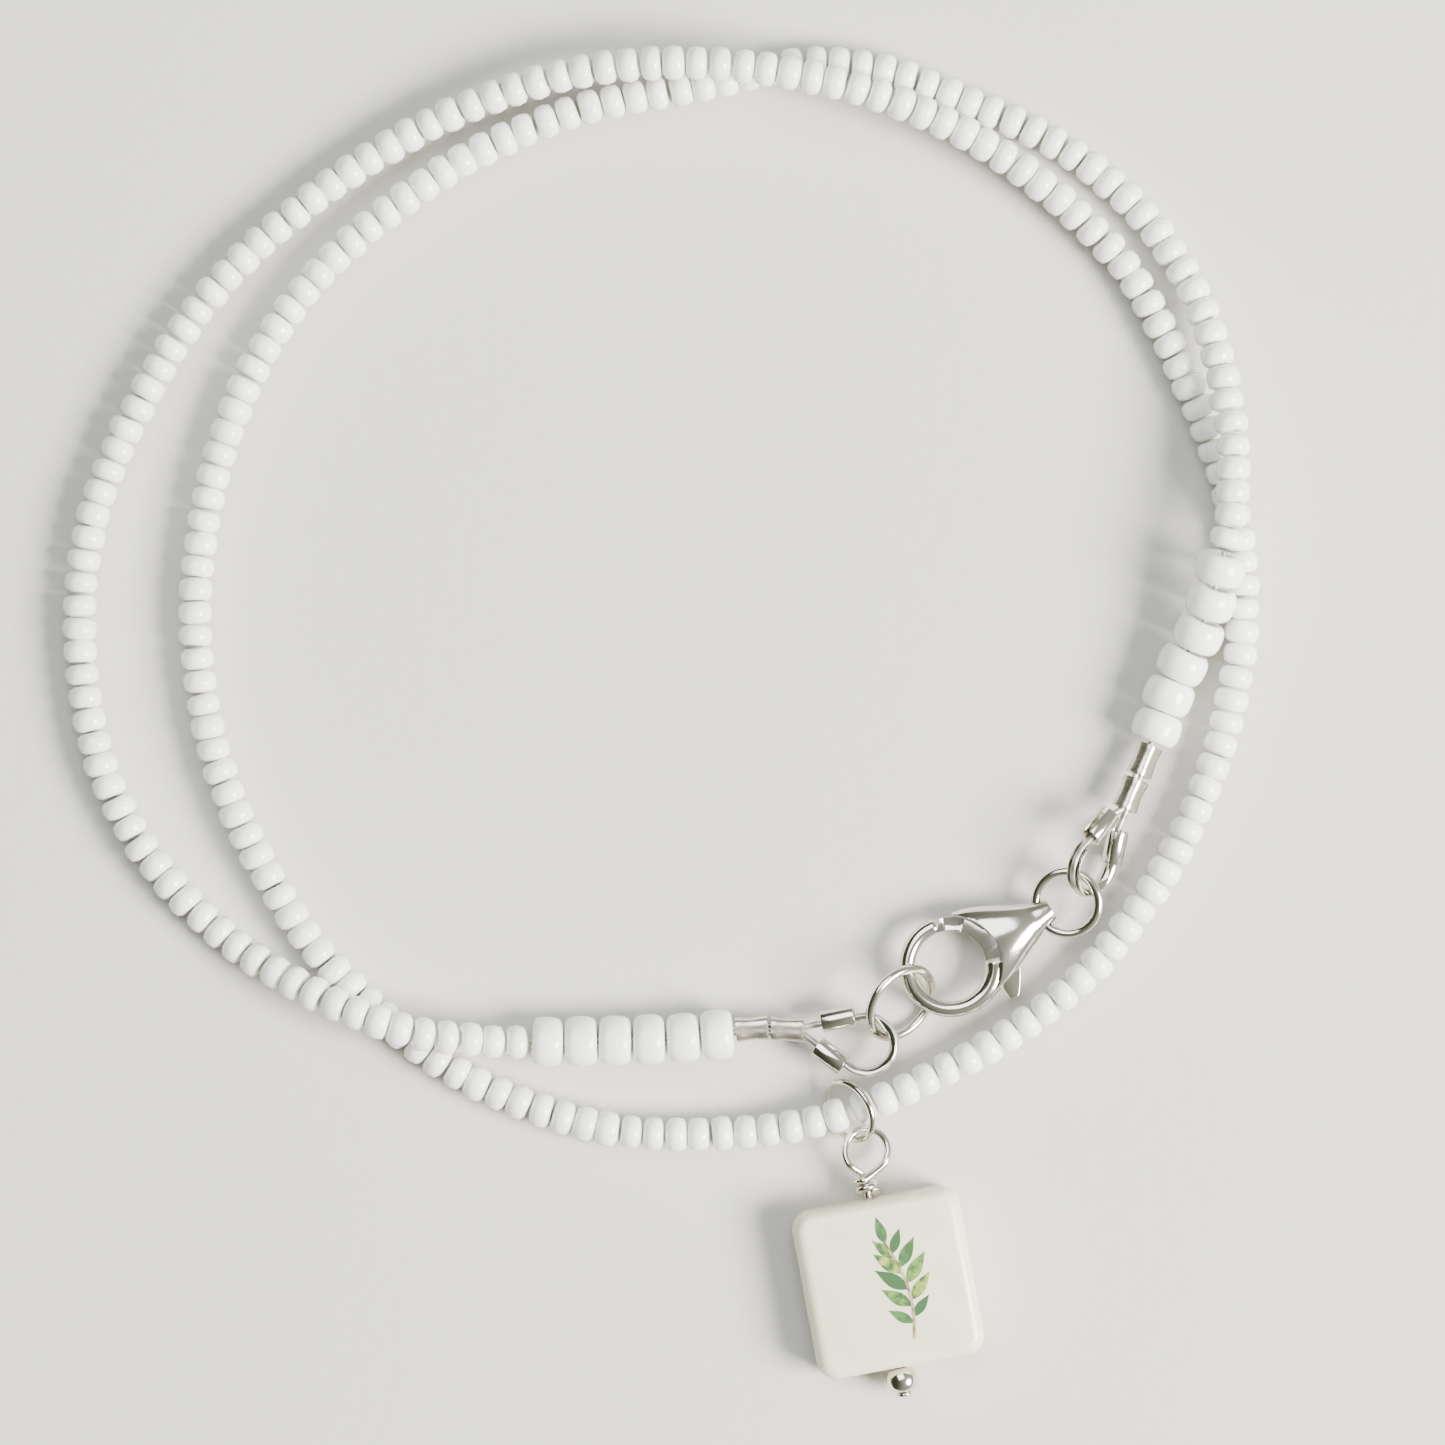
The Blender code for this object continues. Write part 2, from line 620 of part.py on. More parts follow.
def clasp_hook(material, matrix):
    """The fixed hook, round in section, its end square to the pivot, thicker where it joins the shell."""
    bm = bmesh.new()
    up = Vector((0, 0, 1))
    rows = []
    for step in range(-1, HOOK_STEPS + 1):
        share = max(step, 0) / HOOK_STEPS
        angle = HOOK_TIP_ANGLE + (HOOK_ROOT_ANGLE - HOOK_TIP_ANGLE) * share
        outward = Vector((math.cos(angle), math.sin(angle), 0))
        along = Vector((-math.sin(angle), math.cos(angle), 0))
        root = ease((share - HOOK_ROOT_FROM) / (1 - HOOK_ROOT_FROM))
        centre = outward * (HOOK_RADIUS + HOOK_ROOT_SHIFT * root)
        radius = HOOK_WIRE
        if step < 0:
            centre -= along * HOOK_TIP_LENGTH
            radius *= HOOK_TIP_SHARE
        wide = outward * radius * (1 + HOOK_ROOT_WIDER * root)
        if step <= 0:
            face = hook_tip()[1]
            wide += along * wide.dot(face) / -along.dot(face)
        tall = up * radius * (1 + HOOK_ROOT_DEEPER * root)
        turns = [2 * math.pi * corner / HOOK_SIDES for corner in range(HOOK_SIDES)]
        rows.append([bm.verts.new(centre + wide * math.cos(turn) + tall * math.sin(turn)) for turn in turns])
    loft(bm, rows)
    return new_object("hook_guide", mesh_from(bm, "hook_guide"), material, matrix)


def add_clasp(materials):
    """Clasp body: shell with mouth, slot and eye, fixed hook and pivot. Clasp lever: gate, web and nub."""
    silver = materials["silver"]
    matrix = Matrix.Translation(CLASP_AT) @ Matrix.Rotation(CLASP_HEADING, 4, "Z")
    eye_place = matrix @ Matrix.Translation((EYE_AT, 0, 0)) @ Matrix.Rotation(EYE_TURN, 4, "Z")
    eye_across = eye_place @ Matrix.Rotation(math.pi / 2, 4, "X")
    pivot_place = matrix @ Matrix.Translation(PIVOT)
    body = clasp_shell(silver, matrix)
    cut(body, bar("mouth_cutter", SHELL_MOUTH, CUTTER_REACH, silver, matrix, 40))
    cut(body, clasp_hook(silver, matrix), "UNION")
    cut(body, prism("slot_cutter", SLOT_OUTLINE, SLOT_HALF, silver, matrix))
    cut(body, bar("eye_cutter", EYE_RADIUS, CUTTER_REACH, silver, eye_across, 16))
    cut(body, bar("pivot_guide", PIVOT_RADIUS, PIVOT_HALF, silver, pivot_place, 12), "UNION")
    add_lever(silver, pivot_place)


def gate_edge(radius):
    """One edge of the gate, from its end, which just clears the hook's tip as it swings, down to its heel."""
    reach = (PIVOT - hook_tip()[0]).length - GATE_GAP
    off_pivot = math.acos((radius ** 2 + PIVOT.length ** 2 - reach ** 2) / (2 * radius * PIVOT.length))
    start = off_pivot + math.atan2(PIVOT.y, PIVOT.x)
    angles = [start + (GATE_HEEL - start) * step / GATE_STEPS for step in range(GATE_STEPS + 1)]
    return [Vector((math.cos(angle), math.sin(angle))) * radius for angle in angles]


def add_lever(silver, pivot_place):
    """The lever turns on the pivot: a curved gate, a web to the pivot and a thumb nub."""
    outer = gate_edge(LEVER_OUTER)
    inner = gate_edge(LEVER_INNER)
    web = [Vector(point) * MM for point in WEB_OUTLINE]
    outline = [point for point in outer if point.y > GATE_WEB_TOP] + web + outer[-1:] + inner[::-1]
    about_pivot = [(point - PIVOT.xy) / MM for point in outline]
    lever = prism("clasp_lever", about_pivot, LEVER_HALF, silver, pivot_place)
    cut(lever, bar("lever_bore", PIVOT_RADIUS + PIVOT_CLEARANCE, CUTTER_REACH, silver, pivot_place, 12))


# Pendant
def tile_matrix():
    """The tile's frame: X along its pin from top to bottom."""
    return Matrix.Translation(TILE_AT) @ Matrix.Rotation(TILE_HEADING, 4, "Z")


def pin_matrix():
    """The pin's frame, a little to one side of the tile's middle."""
    return tile_matrix() @ Matrix.Translation((0, -PIN_OFFSET, 0))


def add_tile(materials):
    """The square shell tile with rounded corners and soft edges, drilled for the pin."""
    bm = bmesh.new()
    bmesh.ops.create_cube(bm, size=1.0)
    bmesh.ops.scale(bm, vec=(TILE_SIDE, TILE_SIDE, TILE_THICKNESS), verts=bm.verts)
    half = TILE_THICKNESS / 2
    uprights = [edge for edge in bm.edges if abs(edge.verts[0].co.z - edge.verts[1].co.z) > half]
    bmesh.ops.bevel(bm, geom=uprights, offset=TILE_CORNER, segments=4, profile=0.5, affect="EDGES")
    rims = [edge for edge in bm.edges if abs(edge.verts[0].co.z - edge.verts[1].co.z) < half]
    bmesh.ops.bevel(bm, geom=rims, offset=TILE_EDGE, segments=3, profile=0.5, affect="EDGES")
    shell = materials["shell"]
    tile = new_object("shell_tile", mesh_from(bm, "shell_tile"), shell, tile_matrix())
    along_pin = pin_matrix() @ Matrix.Rotation(math.pi / 2, 4, "Y")
    cut(tile, bar("tile_hole", TILE_HOLE / 2, TILE_SIDE, shell, along_pin, 12))


def pin_head(start):
    """Distances along the pin and relative radii of its flat head."""
    wide = PIN_HEAD_DIAMETER / PIN_WIRE
    profile = ((1.0, 0.8), (0.7, 1.0), (0.3, 1.0), (0.0, 0.8))
    return [(start + PIN_HEAD_HEIGHT * height, wide * width) for height, width in profile]


def pin_eye(axis, right):
    """The eye, a loop that leans down to the strand and rises on its left."""
    points = []
    for step in range(EYE_STEPS + 1):
        angle = EYE_START - EYE_SWEEP * step / EYE_STEPS
        across = right * EYE_HALF_WIDTH * math.cos(angle)
        along = axis * EYE_HALF_LENGTH * math.sin(angle)
        up = Vector((0, 0, -EYE_DIP * math.sin(angle) - EYE_ROLL * math.cos(angle)))
        points.append(EYE_CENTRE + across + along + up)
    return points


def pin_wraps(turn_off, axis, right):
    """The wraps from the eye back down the neck, starting over its top."""
    points = []
    for step in range(round(WRAP_TURNS * WRAP_STEPS) + 1):
        turn = 2 * math.pi * step / WRAP_STEPS
        centre = turn_off - axis * (WRAP_START + WRAP_PITCH * step / WRAP_STEPS)
        points.append(centre + (Vector((0, 0, 1)) * math.cos(turn) - right * math.sin(turn)) * WRAP_RADIUS)
    return points


def add_pin(materials):
    """The head pin and its bead: head, straight shank through the tile, eye, and wraps round the neck."""
    matrix = pin_matrix()
    bead_middle = TILE_SIDE / 2 + PIN_BEAD_GAP + PIN_BEAD_LENGTH / 2
    bead_matrix = matrix @ Matrix.Translation((bead_middle, 0, 0)) @ Matrix.Rotation(math.pi / 2, 4, "Y")
    bead = bead_mesh("pin_bead", PIN_BEAD_DIAMETER, PIN_BEAD_LENGTH, PIN_BEAD_HOLE)
    new_object("pin_bead", bead, materials["silver"], bead_matrix)
    head_start = bead_middle + PIN_BEAD_LENGTH / 2 + PIN_BEAD_GAP / 2
    head = pin_head(head_start)
    neck_at = -TILE_SIDE / 2
    turn_off_at = neck_at - WRAP_CLEAR - WRAP_START - WRAP_PITCH * WRAP_TURNS
    distances = [distance for distance, _ in head] + [head_start - PIN_STEP, neck_at, turn_off_at]
    points = [matrix @ Vector((distance, 0, 0)) for distance in distances]
    neck, turn_off = points[-2:]
    axis = (turn_off - neck).normalized()
    right = Vector((axis.y, -axis.x, 0))
    points += pin_eye(axis, right) + pin_wraps(turn_off, axis, right)
    radii = [radius for _, radius in head]
    radii += [1.0] * (len(points) - len(radii))
    wire_object("head_pin", points, PIN_WIRE, materials["silver"], 1, radii)


def clear_scene():
    """Start from an empty scene."""
    for piece in list(bpy.data.objects):
        bpy.data.objects.remove(piece)


def build():
    """The whole necklace."""
    clear_scene()
    materials = make_finishes()
    path = strand_path()
    add_seed_strings(path, materials)
    add_end_beads(path, materials)
    add_guards(materials)
    add_crimps_and_wires(path, materials)
    add_rings(materials)
    add_clasp(materials)
    add_tile(materials)
    add_pin(materials)


build()
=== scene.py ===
# %% [markdown]
# # A beaded necklace with a trigger clasp and a shell tile
#
# The necklace lies loose on a pale surface in two turns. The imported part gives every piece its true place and
# size. This lesson dresses it: white glass beads, polished silver, coated wire and a mother of pearl tile.

# %% Load the frame
import math
import random
from collections import namedtuple

import bpy
from mathutils import Matrix, Vector


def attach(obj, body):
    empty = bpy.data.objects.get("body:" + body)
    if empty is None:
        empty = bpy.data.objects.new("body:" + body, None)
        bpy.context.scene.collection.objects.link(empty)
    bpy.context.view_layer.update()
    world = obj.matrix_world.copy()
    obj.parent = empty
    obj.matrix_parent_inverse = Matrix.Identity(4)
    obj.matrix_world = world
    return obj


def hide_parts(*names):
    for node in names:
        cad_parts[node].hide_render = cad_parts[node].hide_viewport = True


MM = 0.001
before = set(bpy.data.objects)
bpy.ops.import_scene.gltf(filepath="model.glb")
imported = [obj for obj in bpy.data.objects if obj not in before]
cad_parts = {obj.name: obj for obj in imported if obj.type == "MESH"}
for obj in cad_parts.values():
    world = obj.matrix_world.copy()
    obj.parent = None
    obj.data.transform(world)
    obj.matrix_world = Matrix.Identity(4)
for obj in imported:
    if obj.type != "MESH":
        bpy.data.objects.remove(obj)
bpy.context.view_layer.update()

# %% [markdown]
# ## The camera
#
# The photo looks straight down. Its 1445 pixels cover 85 mm, and a long lens keeps the beads free of distortion.

# %% Camera
VIEW_WIDTH = 85.0 * MM
VIEW_CENTRE = Vector((3.62, 0.15, 1.2)) * MM
CAMERA_DISTANCE = 320.0 * MM
SENSOR = 36.0

camera_data = bpy.data.cameras.new("camera")
camera_data.sensor_width = SENSOR
camera_data.lens = SENSOR * CAMERA_DISTANCE / VIEW_WIDTH
camera_data.clip_start = 0.01
camera = bpy.data.objects.new("camera", camera_data)
bpy.context.scene.collection.objects.link(camera)
camera.location = VIEW_CENTRE + Vector((0, 0, CAMERA_DISTANCE))
bpy.context.scene.camera = camera
print("lens", round(camera_data.lens, 1), "mm")

# %% [markdown]
# ## Light and floor
#
# A large window to the right, a little towards the viewer, gives the soft shadows on the left. Polished silver
# shows what is round it, so the sky is a light room on the window's side and an olive dusk on the other.


# %% Colour and node helpers
def srgb(code):
    """A hex colour as linear red, green, blue and alpha."""
    channels = [int(code[index:index + 2], 16) / 255 for index in (1, 3, 5)]
    linear = [c / 12.92 if c <= 0.04045 else ((c + 0.055) / 1.055) ** 2.4 for c in channels]
    return (*linear, 1.0)


def add_node(tree, kind, links=None, **settings):
    """Add a node with its settings, and give each named input a value or a link."""
    node = tree.nodes.new(kind)
    for name, value in settings.items():
        setattr(node, name, value)
    for name, value in (links or {}).items():
        if isinstance(value, bpy.types.NodeSocket):
            tree.links.new(value, node.inputs[name])
        else:
            node.inputs[name].default_value = value
    return node


# %% Window, fill light and sky
def add_window(name, at, target, size, power, colour):
    """A square area light that looks at a point."""
    light = bpy.data.lights.new(name, "AREA")
    light.shape = "SQUARE"
    light.size = size
    light.energy = power
    light.color = srgb(colour)[:3]
    lamp = bpy.data.objects.new(name, light)
    bpy.context.scene.collection.objects.link(lamp)
    lamp.location = at
    lamp.rotation_euler = (target - at).to_track_quat("-Z", "Y").to_euler()
    return lamp


add_window("window", Vector((0.42, -0.14, 0.36)), VIEW_CENTRE, 0.26, 15.0, "#FFFCF4")
add_window("ceiling", Vector((-0.1, 0.25, 0.6)), VIEW_CENTRE, 0.5, 4.2, "#F6F8FF")

world = bpy.data.worlds.new("room")
world.use_nodes = True
bpy.context.scene.world = world
background = world.node_tree.nodes["Background"]
way = add_node(world.node_tree, "ShaderNodeTexCoord")
axes = add_node(world.node_tree, "ShaderNodeSeparateXYZ", {0: way.outputs["Generated"]})
side = add_node(
    world.node_tree, "ShaderNodeMapRange",
    {"Value": axes.outputs["X"], "From Min": -0.7, "From Max": 0.6}, interpolation_type="SMOOTHSTEP",
)
room = add_node(
    world.node_tree, "ShaderNodeMix",
    {0: side.outputs[0], 6: srgb("#5A5C46"), 7: srgb("#EEEEE0")}, data_type="RGBA",
)
world.node_tree.links.new(room.outputs[2], background.inputs["Color"])
background.inputs["Strength"].default_value = 0.62


# %% Piece helpers
def deselect():
    """Leave edit mode with nothing selected."""
    if bpy.context.object and bpy.context.object.mode != "OBJECT":
        bpy.ops.object.mode_set(mode="OBJECT")
    bpy.ops.object.select_all(action="DESELECT")


def pick(piece):
    """Make a piece the only selected and the active one."""
    deselect()
    piece.select_set(True)
    bpy.context.view_layer.objects.active = piece


def modify(piece, kind, **settings):
    """Add a modifier with its settings and apply it."""
    modifier = piece.modifiers.new(kind.lower(), kind)
    for name, value in settings.items():
        setattr(modifier, name, value)
    pick(piece)
    bpy.ops.object.modifier_apply(modifier=modifier.name)


def boolean(piece, cutter, operation="DIFFERENCE"):
    """Cut or join a piece with another, which is used up."""
    modify(piece, "BOOLEAN", operation=operation, object=cutter)
    bpy.data.objects.remove(cutter)


def settle(piece, matrix):
    """Put a piece in its place, with its place in its mesh, and point its faces outwards."""
    pick(piece)
    piece.matrix_world = matrix
    bpy.ops.object.transform_apply(location=True, rotation=True, scale=True)
    bpy.ops.object.mode_set(mode="EDIT")
    bpy.ops.mesh.select_all(action="SELECT")
    bpy.ops.mesh.normals_make_consistent(inside=False)
    bpy.ops.object.mode_set(mode="OBJECT")
    return piece


def dress(piece, name, material, nodes=(), body="necklace", smooth=40.0):
    """Name a finished piece, shade it, hang it on the body it rides on, and hide the imported parts it stands for.
    """
    pick(piece)
    piece.name = name
    piece.data.name = name
    piece.data.materials.clear()
    piece.data.materials.append(material)
    bpy.ops.object.shade_smooth_by_angle(angle=math.radians(smooth))
    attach(piece, body)
    if nodes:
        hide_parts(*nodes)
    return piece


Ring = namedtuple("Ring", "height x y")


def turned(profile, sides, bore=False):
    """Extrude a circle along Z, ring by ring, to the sizes of a profile, and cap it or bridge its bore."""
    deselect()
    start = profile[0]
    bpy.ops.mesh.primitive_circle_add(vertices=sides, radius=MM, location=(0, 0, start.height))
    bpy.ops.object.mode_set(mode="EDIT")
    bpy.ops.mesh.select_mode(type="VERT")
    bpy.ops.mesh.select_all(action="SELECT")
    bpy.ops.transform.resize(value=(start.x / MM, start.y / MM, 1))
    for before, after in zip(profile, profile[1:]):
        step = (0, 0, after.height - before.height)
        bpy.ops.mesh.extrude_region_move(TRANSFORM_OT_translate={"value": step})
        bpy.ops.transform.resize(value=(after.x / before.x, after.y / before.y, 1))
    bpy.ops.mesh.select_all(action="DESELECT")
    bpy.ops.mesh.select_non_manifold()
    if bore:
        bpy.ops.mesh.bridge_edge_loops()
    else:
        bpy.ops.mesh.fill_holes(sides=0)
    bpy.ops.object.mode_set(mode="OBJECT")
    piece = bpy.context.object
    settle(piece, piece.matrix_world.copy())
    return piece


def prism(outline, half):
    """A plate with a given outline and twice half thick: a flat circle whose corners are moved, then extruded."""
    deselect()
    bpy.ops.mesh.primitive_circle_add(vertices=len(outline), radius=MM, fill_type="NGON")
    piece = bpy.context.object
    for vertex, corner in zip(piece.data.vertices, outline):
        vertex.co = (corner[0], corner[1], -half)
    bpy.ops.object.mode_set(mode="EDIT")
    bpy.ops.mesh.select_all(action="SELECT")
    bpy.ops.mesh.extrude_region_move(TRANSFORM_OT_translate={"value": (0, 0, 2 * half)})
    bpy.ops.object.mode_set(mode="OBJECT")
    return settle(piece, Matrix.Identity(4))


def wire(points, diameter, radii=None, sides=20):
    """A round wire along points, as a curve that is made a mesh."""
    curve = bpy.data.curves.new("wire", "CURVE")
    curve.dimensions = "3D"
    curve.bevel_depth = diameter / 2
    curve.bevel_resolution = sides // 2 - 2
    curve.use_fill_caps = True
    spline = curve.splines.new("POLY")
    spline.points.add(len(points) - 1)
    for index, point in enumerate(points):
        spline.points[index].co = (*point, 1.0)
        spline.points[index].radius = radii[index] if radii else 1.0
    piece = bpy.data.objects.new("wire", curve)
    bpy.context.scene.collection.objects.link(piece)
    pick(piece)
    bpy.ops.object.convert(target="MESH")
    return settle(bpy.context.object, Matrix.Identity(4))


def ease(value):
    """0 to 1 with a soft start and end."""
    value = min(max(value, 0.0), 1.0)
    return value * value * (3 - 2 * value)


def smooth_curve(points, steps):
    """Points of a Catmull-Rom curve through the given points."""
    curve = []
    last = len(points) - 1
    for index in range(last):
        start, end = points[index], points[index + 1]
        before = points[index - 1] if index else start * 2 - end
        after = points[index + 2] if index + 2 <= last else end * 2 - start
        for step in range(steps):
            t = step / steps
            curve.append(
                (start * 2 + (end - before) * t
                 + (before * 2 - start * 5 + end * 4 - after) * t * t
                 + (start * 3 - before - end * 3 + after) * t ** 3) / 2
            )
    curve.append(points[last].copy())
    return curve


# %% [markdown]
# ## The floor
#
# A plain pale sheet, wide enough for every view. It is stage, not part of the necklace.

# %% Floor
FLOOR_SIDE = 3.0


def paper_finish():
    """Matt off-white paper with a faint tooth."""
    material = bpy.data.materials.new("matt_paper")
    material.use_nodes = True
    tree = material.node_tree
    shader = tree.nodes["Principled BSDF"]
    where = add_node(tree, "ShaderNodeTexCoord")
    tooth = add_node(tree, "ShaderNodeTexNoise", {"Vector": where.outputs["Object"], "Scale": 900.0})
    bump = add_node(
        tree, "ShaderNodeBump",
        {"Height": tooth.outputs["Fac"], "Strength": 0.12, "Distance": 0.0002},
    )
    shader.inputs["Base Color"].default_value = srgb("#C9C8C1")
    shader.inputs["Roughness"].default_value = 0.9
    tree.links.new(bump.outputs["Normal"], shader.inputs["Normal"])
    return material


deselect()
bpy.ops.mesh.primitive_plane_add(size=FLOOR_SIDE, location=(0, 0, -0.00002))
floor = bpy.context.object
floor.name = "floor"
floor.data.materials.append(paper_finish())

# %% [markdown]
# ## White glass
#
# Seed beads are cut from a drawn tube of opaque white glass and tumbled hot until their edges melt round. The
# fire polish leaves a glossy skin with soft ripples, and each bead is a slightly different white.


# %% White glass
def white_glass():
    """Fire polished opaque glass: milky, glossy, each bead with its own tone."""
    material = bpy.data.materials.new("fire_polished_white_glass")
    material.use_nodes = True
    tree = material.node_tree
    shader = tree.nodes["Principled BSDF"]
    where = add_node(tree, "ShaderNodeTexCoord")
    tone = add_node(tree, "ShaderNodeAttribute", attribute_name="bead_tone")
    white = add_node(
        tree, "ShaderNodeMix",
        {0: tone.outputs["Fac"], 6: srgb("#F0F0EB"), 7: srgb("#FAFAF7")}, data_type="RGBA",
    )
    ripple = add_node(
        tree, "ShaderNodeTexNoise",
        {"Vector": where.outputs["Object"], "Scale": 1.0 / (1.1 * MM), "Detail": 1.5},
    )
    gloss = add_node(
        tree, "ShaderNodeMapRange", {"Value": ripple.outputs["Fac"], "To Min": 0.1, "To Max": 0.22},
    )
    bump = add_node(
        tree, "ShaderNodeBump",
        {"Height": ripple.outputs["Fac"], "Strength": 0.1, "Distance": 0.1 * MM},
    )
    tree.links.new(white.outputs[2], shader.inputs["Base Color"])
    tree.links.new(gloss.outputs[0], shader.inputs["Roughness"])
    tree.links.new(bump.outputs["Normal"], shader.inputs["Normal"])
    shader.inputs["IOR"].default_value = 1.52
    shader.inputs["Subsurface Weight"].default_value = 0.25
    shader.inputs["Subsurface Radius"].default_value = (1.0, 1.0, 0.95)
    shader.inputs["Subsurface Scale"].default_value = 0.7 * MM
    return material


WHITE_GLASS = white_glass()

# %% [markdown]
# ## The strand's route
#
# The route is the part's own list, in millimetres. The height along it follows from the crossings, where the
# strand rides over itself, and at the pendant ring.

# %% Route
SEED_DIAMETER = 2.15 * MM
SEED_LENGTH = 1.3 * MM
SEED_PITCH = 1.36 * MM
END_BEAD_DIAMETER = 3.0 * MM
END_BEAD_LENGTH = 1.92 * MM
END_BEAD_PITCH = 2.0 * MM
END_BEAD_COUNT = 6
SEED_END_GAP = 0.15 * MM
MEETING_GAP = 0.3 * MM

STRAND_ROUTE = [
    (28.8, -1.1), (30.2, 2.7), (31.8, 6.0), (33.0, 10.5), (33.5, 15.3), (32.9, 20.3), (31.7, 24.5),
    (29.8, 28.1), (27.1, 31.3), (23.1, 34.3), (18.2, 36.6), (13.2, 38.5), (8.2, 38.9), (2.2, 37.6),
    (-5.1, 36.1), (-12.2, 32.9), (-18.6, 28.1), (-22.6, 23.4), (-25.5, 17.4), (-27.2, 10.0), (-27.1, 2.1),
    (-25.0, -5.2), (-20.9, -12.4), (-16.1, -17.4), (-10.6, -21.2), (-2.8, -23.8), (5.5, -23.9),
    (11.1, -22.7), (15.7, -20.8), (20.9, -17.9), (25.9, -13.7), (30.8, -6.5), (33.6, 1.5), (34.2, 8.6),
    (33.0, 15.0), (30.0, 22.2), (26.8, 27.6), (20.8, 32.9), (14.0, 36.4), (7.0, 38.2), (-0.1, 38.7),
    (-6.8, 37.8), (-14.2, 35.0), (-21.1, 30.5), (-26.9, 24.9), (-31.2, 17.9), (-33.6, 11.7), (-34.2, 5.0),
    (-33.2, -1.6), (-30.1, -7.8), (-24.4, -13.4), (-16.3, -17.4), (-10.6, -18.5), (-6.8, -18.6),
    (0.0, -18.45), (4.3, -18.1),
]
Rise = namedtuple("Rise", "along height before after")
RISES = [
    Rise(along=15.4 * MM, height=2.35 * MM, before=13.5 * MM, after=19.0 * MM),
    Rise(along=165.4 * MM, height=0.51 * MM, before=7.0 * MM, after=7.0 * MM),
    Rise(along=252.3 * MM, height=2.35 * MM, before=28.0 * MM, after=28.0 * MM),
    Rise(along=341.7 * MM, height=2.35 * MM, before=12.0 * MM, after=10.0 * MM),
]


class Path:
    """A curve that is read by the distance along its plan."""

    def __init__(self, points):
        self.points = points
        self.marks = [0.0]
        for start, end in zip(points, points[1:]):
            self.marks.append(self.marks[-1] + (end - start).xy.length)
        self.length = self.marks[-1]

    def at(self, distance):
        """The point at a distance along the curve."""
        distance = min(max(distance, 0.0), self.length)
        index = 0
        while index < len(self.marks) - 2 and self.marks[index + 1] < distance:
            index += 1
        share = (distance - self.marks[index]) / (self.marks[index + 1] - self.marks[index])
        return self.points[index].lerp(self.points[index + 1], share)

    def heading(self, distance):
        """The unit direction of the curve there."""
        reach = 0.4 * MM
        return (self.at(distance + reach) - self.at(distance - reach)).normalized()


def strand_path():
    """The strand's middle line, on the surface and over its own crossings."""
    flat = Path(smooth_curve([Vector((x, y, 0)) * MM for x, y in STRAND_ROUTE], 12))
    beads = END_BEAD_COUNT * END_BEAD_PITCH
    points = []
    for point, mark in zip(flat.points, flat.marks):
        from_end = min(mark, flat.length - mark)
        seed = ease((from_end - beads) / (2 * END_BEAD_PITCH))
        height = (END_BEAD_DIAMETER + seed * (SEED_DIAMETER - END_BEAD_DIAMETER)) / 2
        for rise in RISES:
            away = abs(mark - rise.along) / (rise.before if mark < rise.along else rise.after)
            if away < 1:
                height += rise.height * math.cos(math.pi * away / 2) ** 2
        points.append(point + Vector((0, 0, height)))
    return Path(points)


STRAND = strand_path()
print("strand in mm", round(STRAND.length / MM, 1))


def facing(direction):
    """Axes whose Z runs along a direction and whose X lies level."""
    z_axis = direction.normalized()
    x_axis = Vector((0, 0, 1)).cross(z_axis).normalized()
    return Matrix((x_axis, z_axis.cross(x_axis), z_axis)).transposed()


# %% [markdown]
# ## The seed beads
#
# A bead is turned from a circle: extruded ring by ring to a squat barrel, with its bore bridged. It has few
# faces, because it is copied about 250 times. No two real ones are alike, so each copy is a little longer,
# fatter or tilted, from a seeded random draw, and all of a strand's copies are joined in one mesh.

# %% Seed beads
SEED_PROFILE = [
    (-0.4, 0.32), (-0.5, 0.64), (-0.34, 0.91), (0.0, 1.0), (0.34, 0.91), (0.5, 0.64), (0.4, 0.32),
]
SEED_SIDES = 12
DRAW = random.Random(26)


def bead(profile, diameter, length, sides):
    """One drilled bead about Z, from heights in lengths and radii in half diameters."""
    rings = [Ring(height * length, radius * diameter / 2, radius * diameter / 2) for height, radius in profile]
    return turned(rings, sides, bore=True)


def tinted(piece, tone):
    """Give every corner of a bead its own tone."""
    layer = piece.data.attributes.new("bead_tone", "FLOAT", "POINT")
    layer.data.foreach_set("value", [tone] * len(piece.data.vertices))


def add_string(name, node, start, end):
    """Copies of the seed bead along a stretch of the strand, joined in one piece."""
    model = bead(SEED_PROFILE, SEED_DIAMETER, SEED_LENGTH, SEED_SIDES)
    count = round((end - start) / SEED_PITCH)
    copies = []
    for number in range(count):
        along = start + (end - start) * (number + 0.5) / count
        copy = bpy.data.objects.new(name, model.data.copy())
        bpy.context.scene.collection.objects.link(copy)
        size = 1 + DRAW.uniform(-0.065, -0.005)
        tilt = Matrix.Rotation(math.radians(DRAW.uniform(-5, 5)), 4, "X")
        tilt @= Matrix.Rotation(math.radians(DRAW.uniform(-5, 5)), 4, "Y")
        roll = Matrix.Rotation(DRAW.uniform(0, math.tau), 4, "Z")
        shape = Matrix.Diagonal((size, size, 1 + DRAW.uniform(-0.1, 0.06), 1.0))
        drift = Vector((DRAW.uniform(-0.04, 0.04), 0, 0)) * MM
        axes = Matrix.Translation(STRAND.at(along) + drift) @ facing(STRAND.heading(along)).to_4x4()
        copy.matrix_world = axes @ tilt @ roll @ shape
        tinted(copy, DRAW.random())
        copies.append(copy)
    bpy.data.objects.remove(model)
    deselect()
    for copy in copies:
        copy.select_set(True)
    bpy.context.view_layer.objects.active = copies[0]
    bpy.ops.object.join()
    piece = bpy.context.object
    bpy.ops.object.transform_apply(location=True, rotation=True, scale=True)
    dress(piece, name, WHITE_GLASS, [node], smooth=70.0)
    print(name, count, "beads", len(piece.data.polygons), "faces")


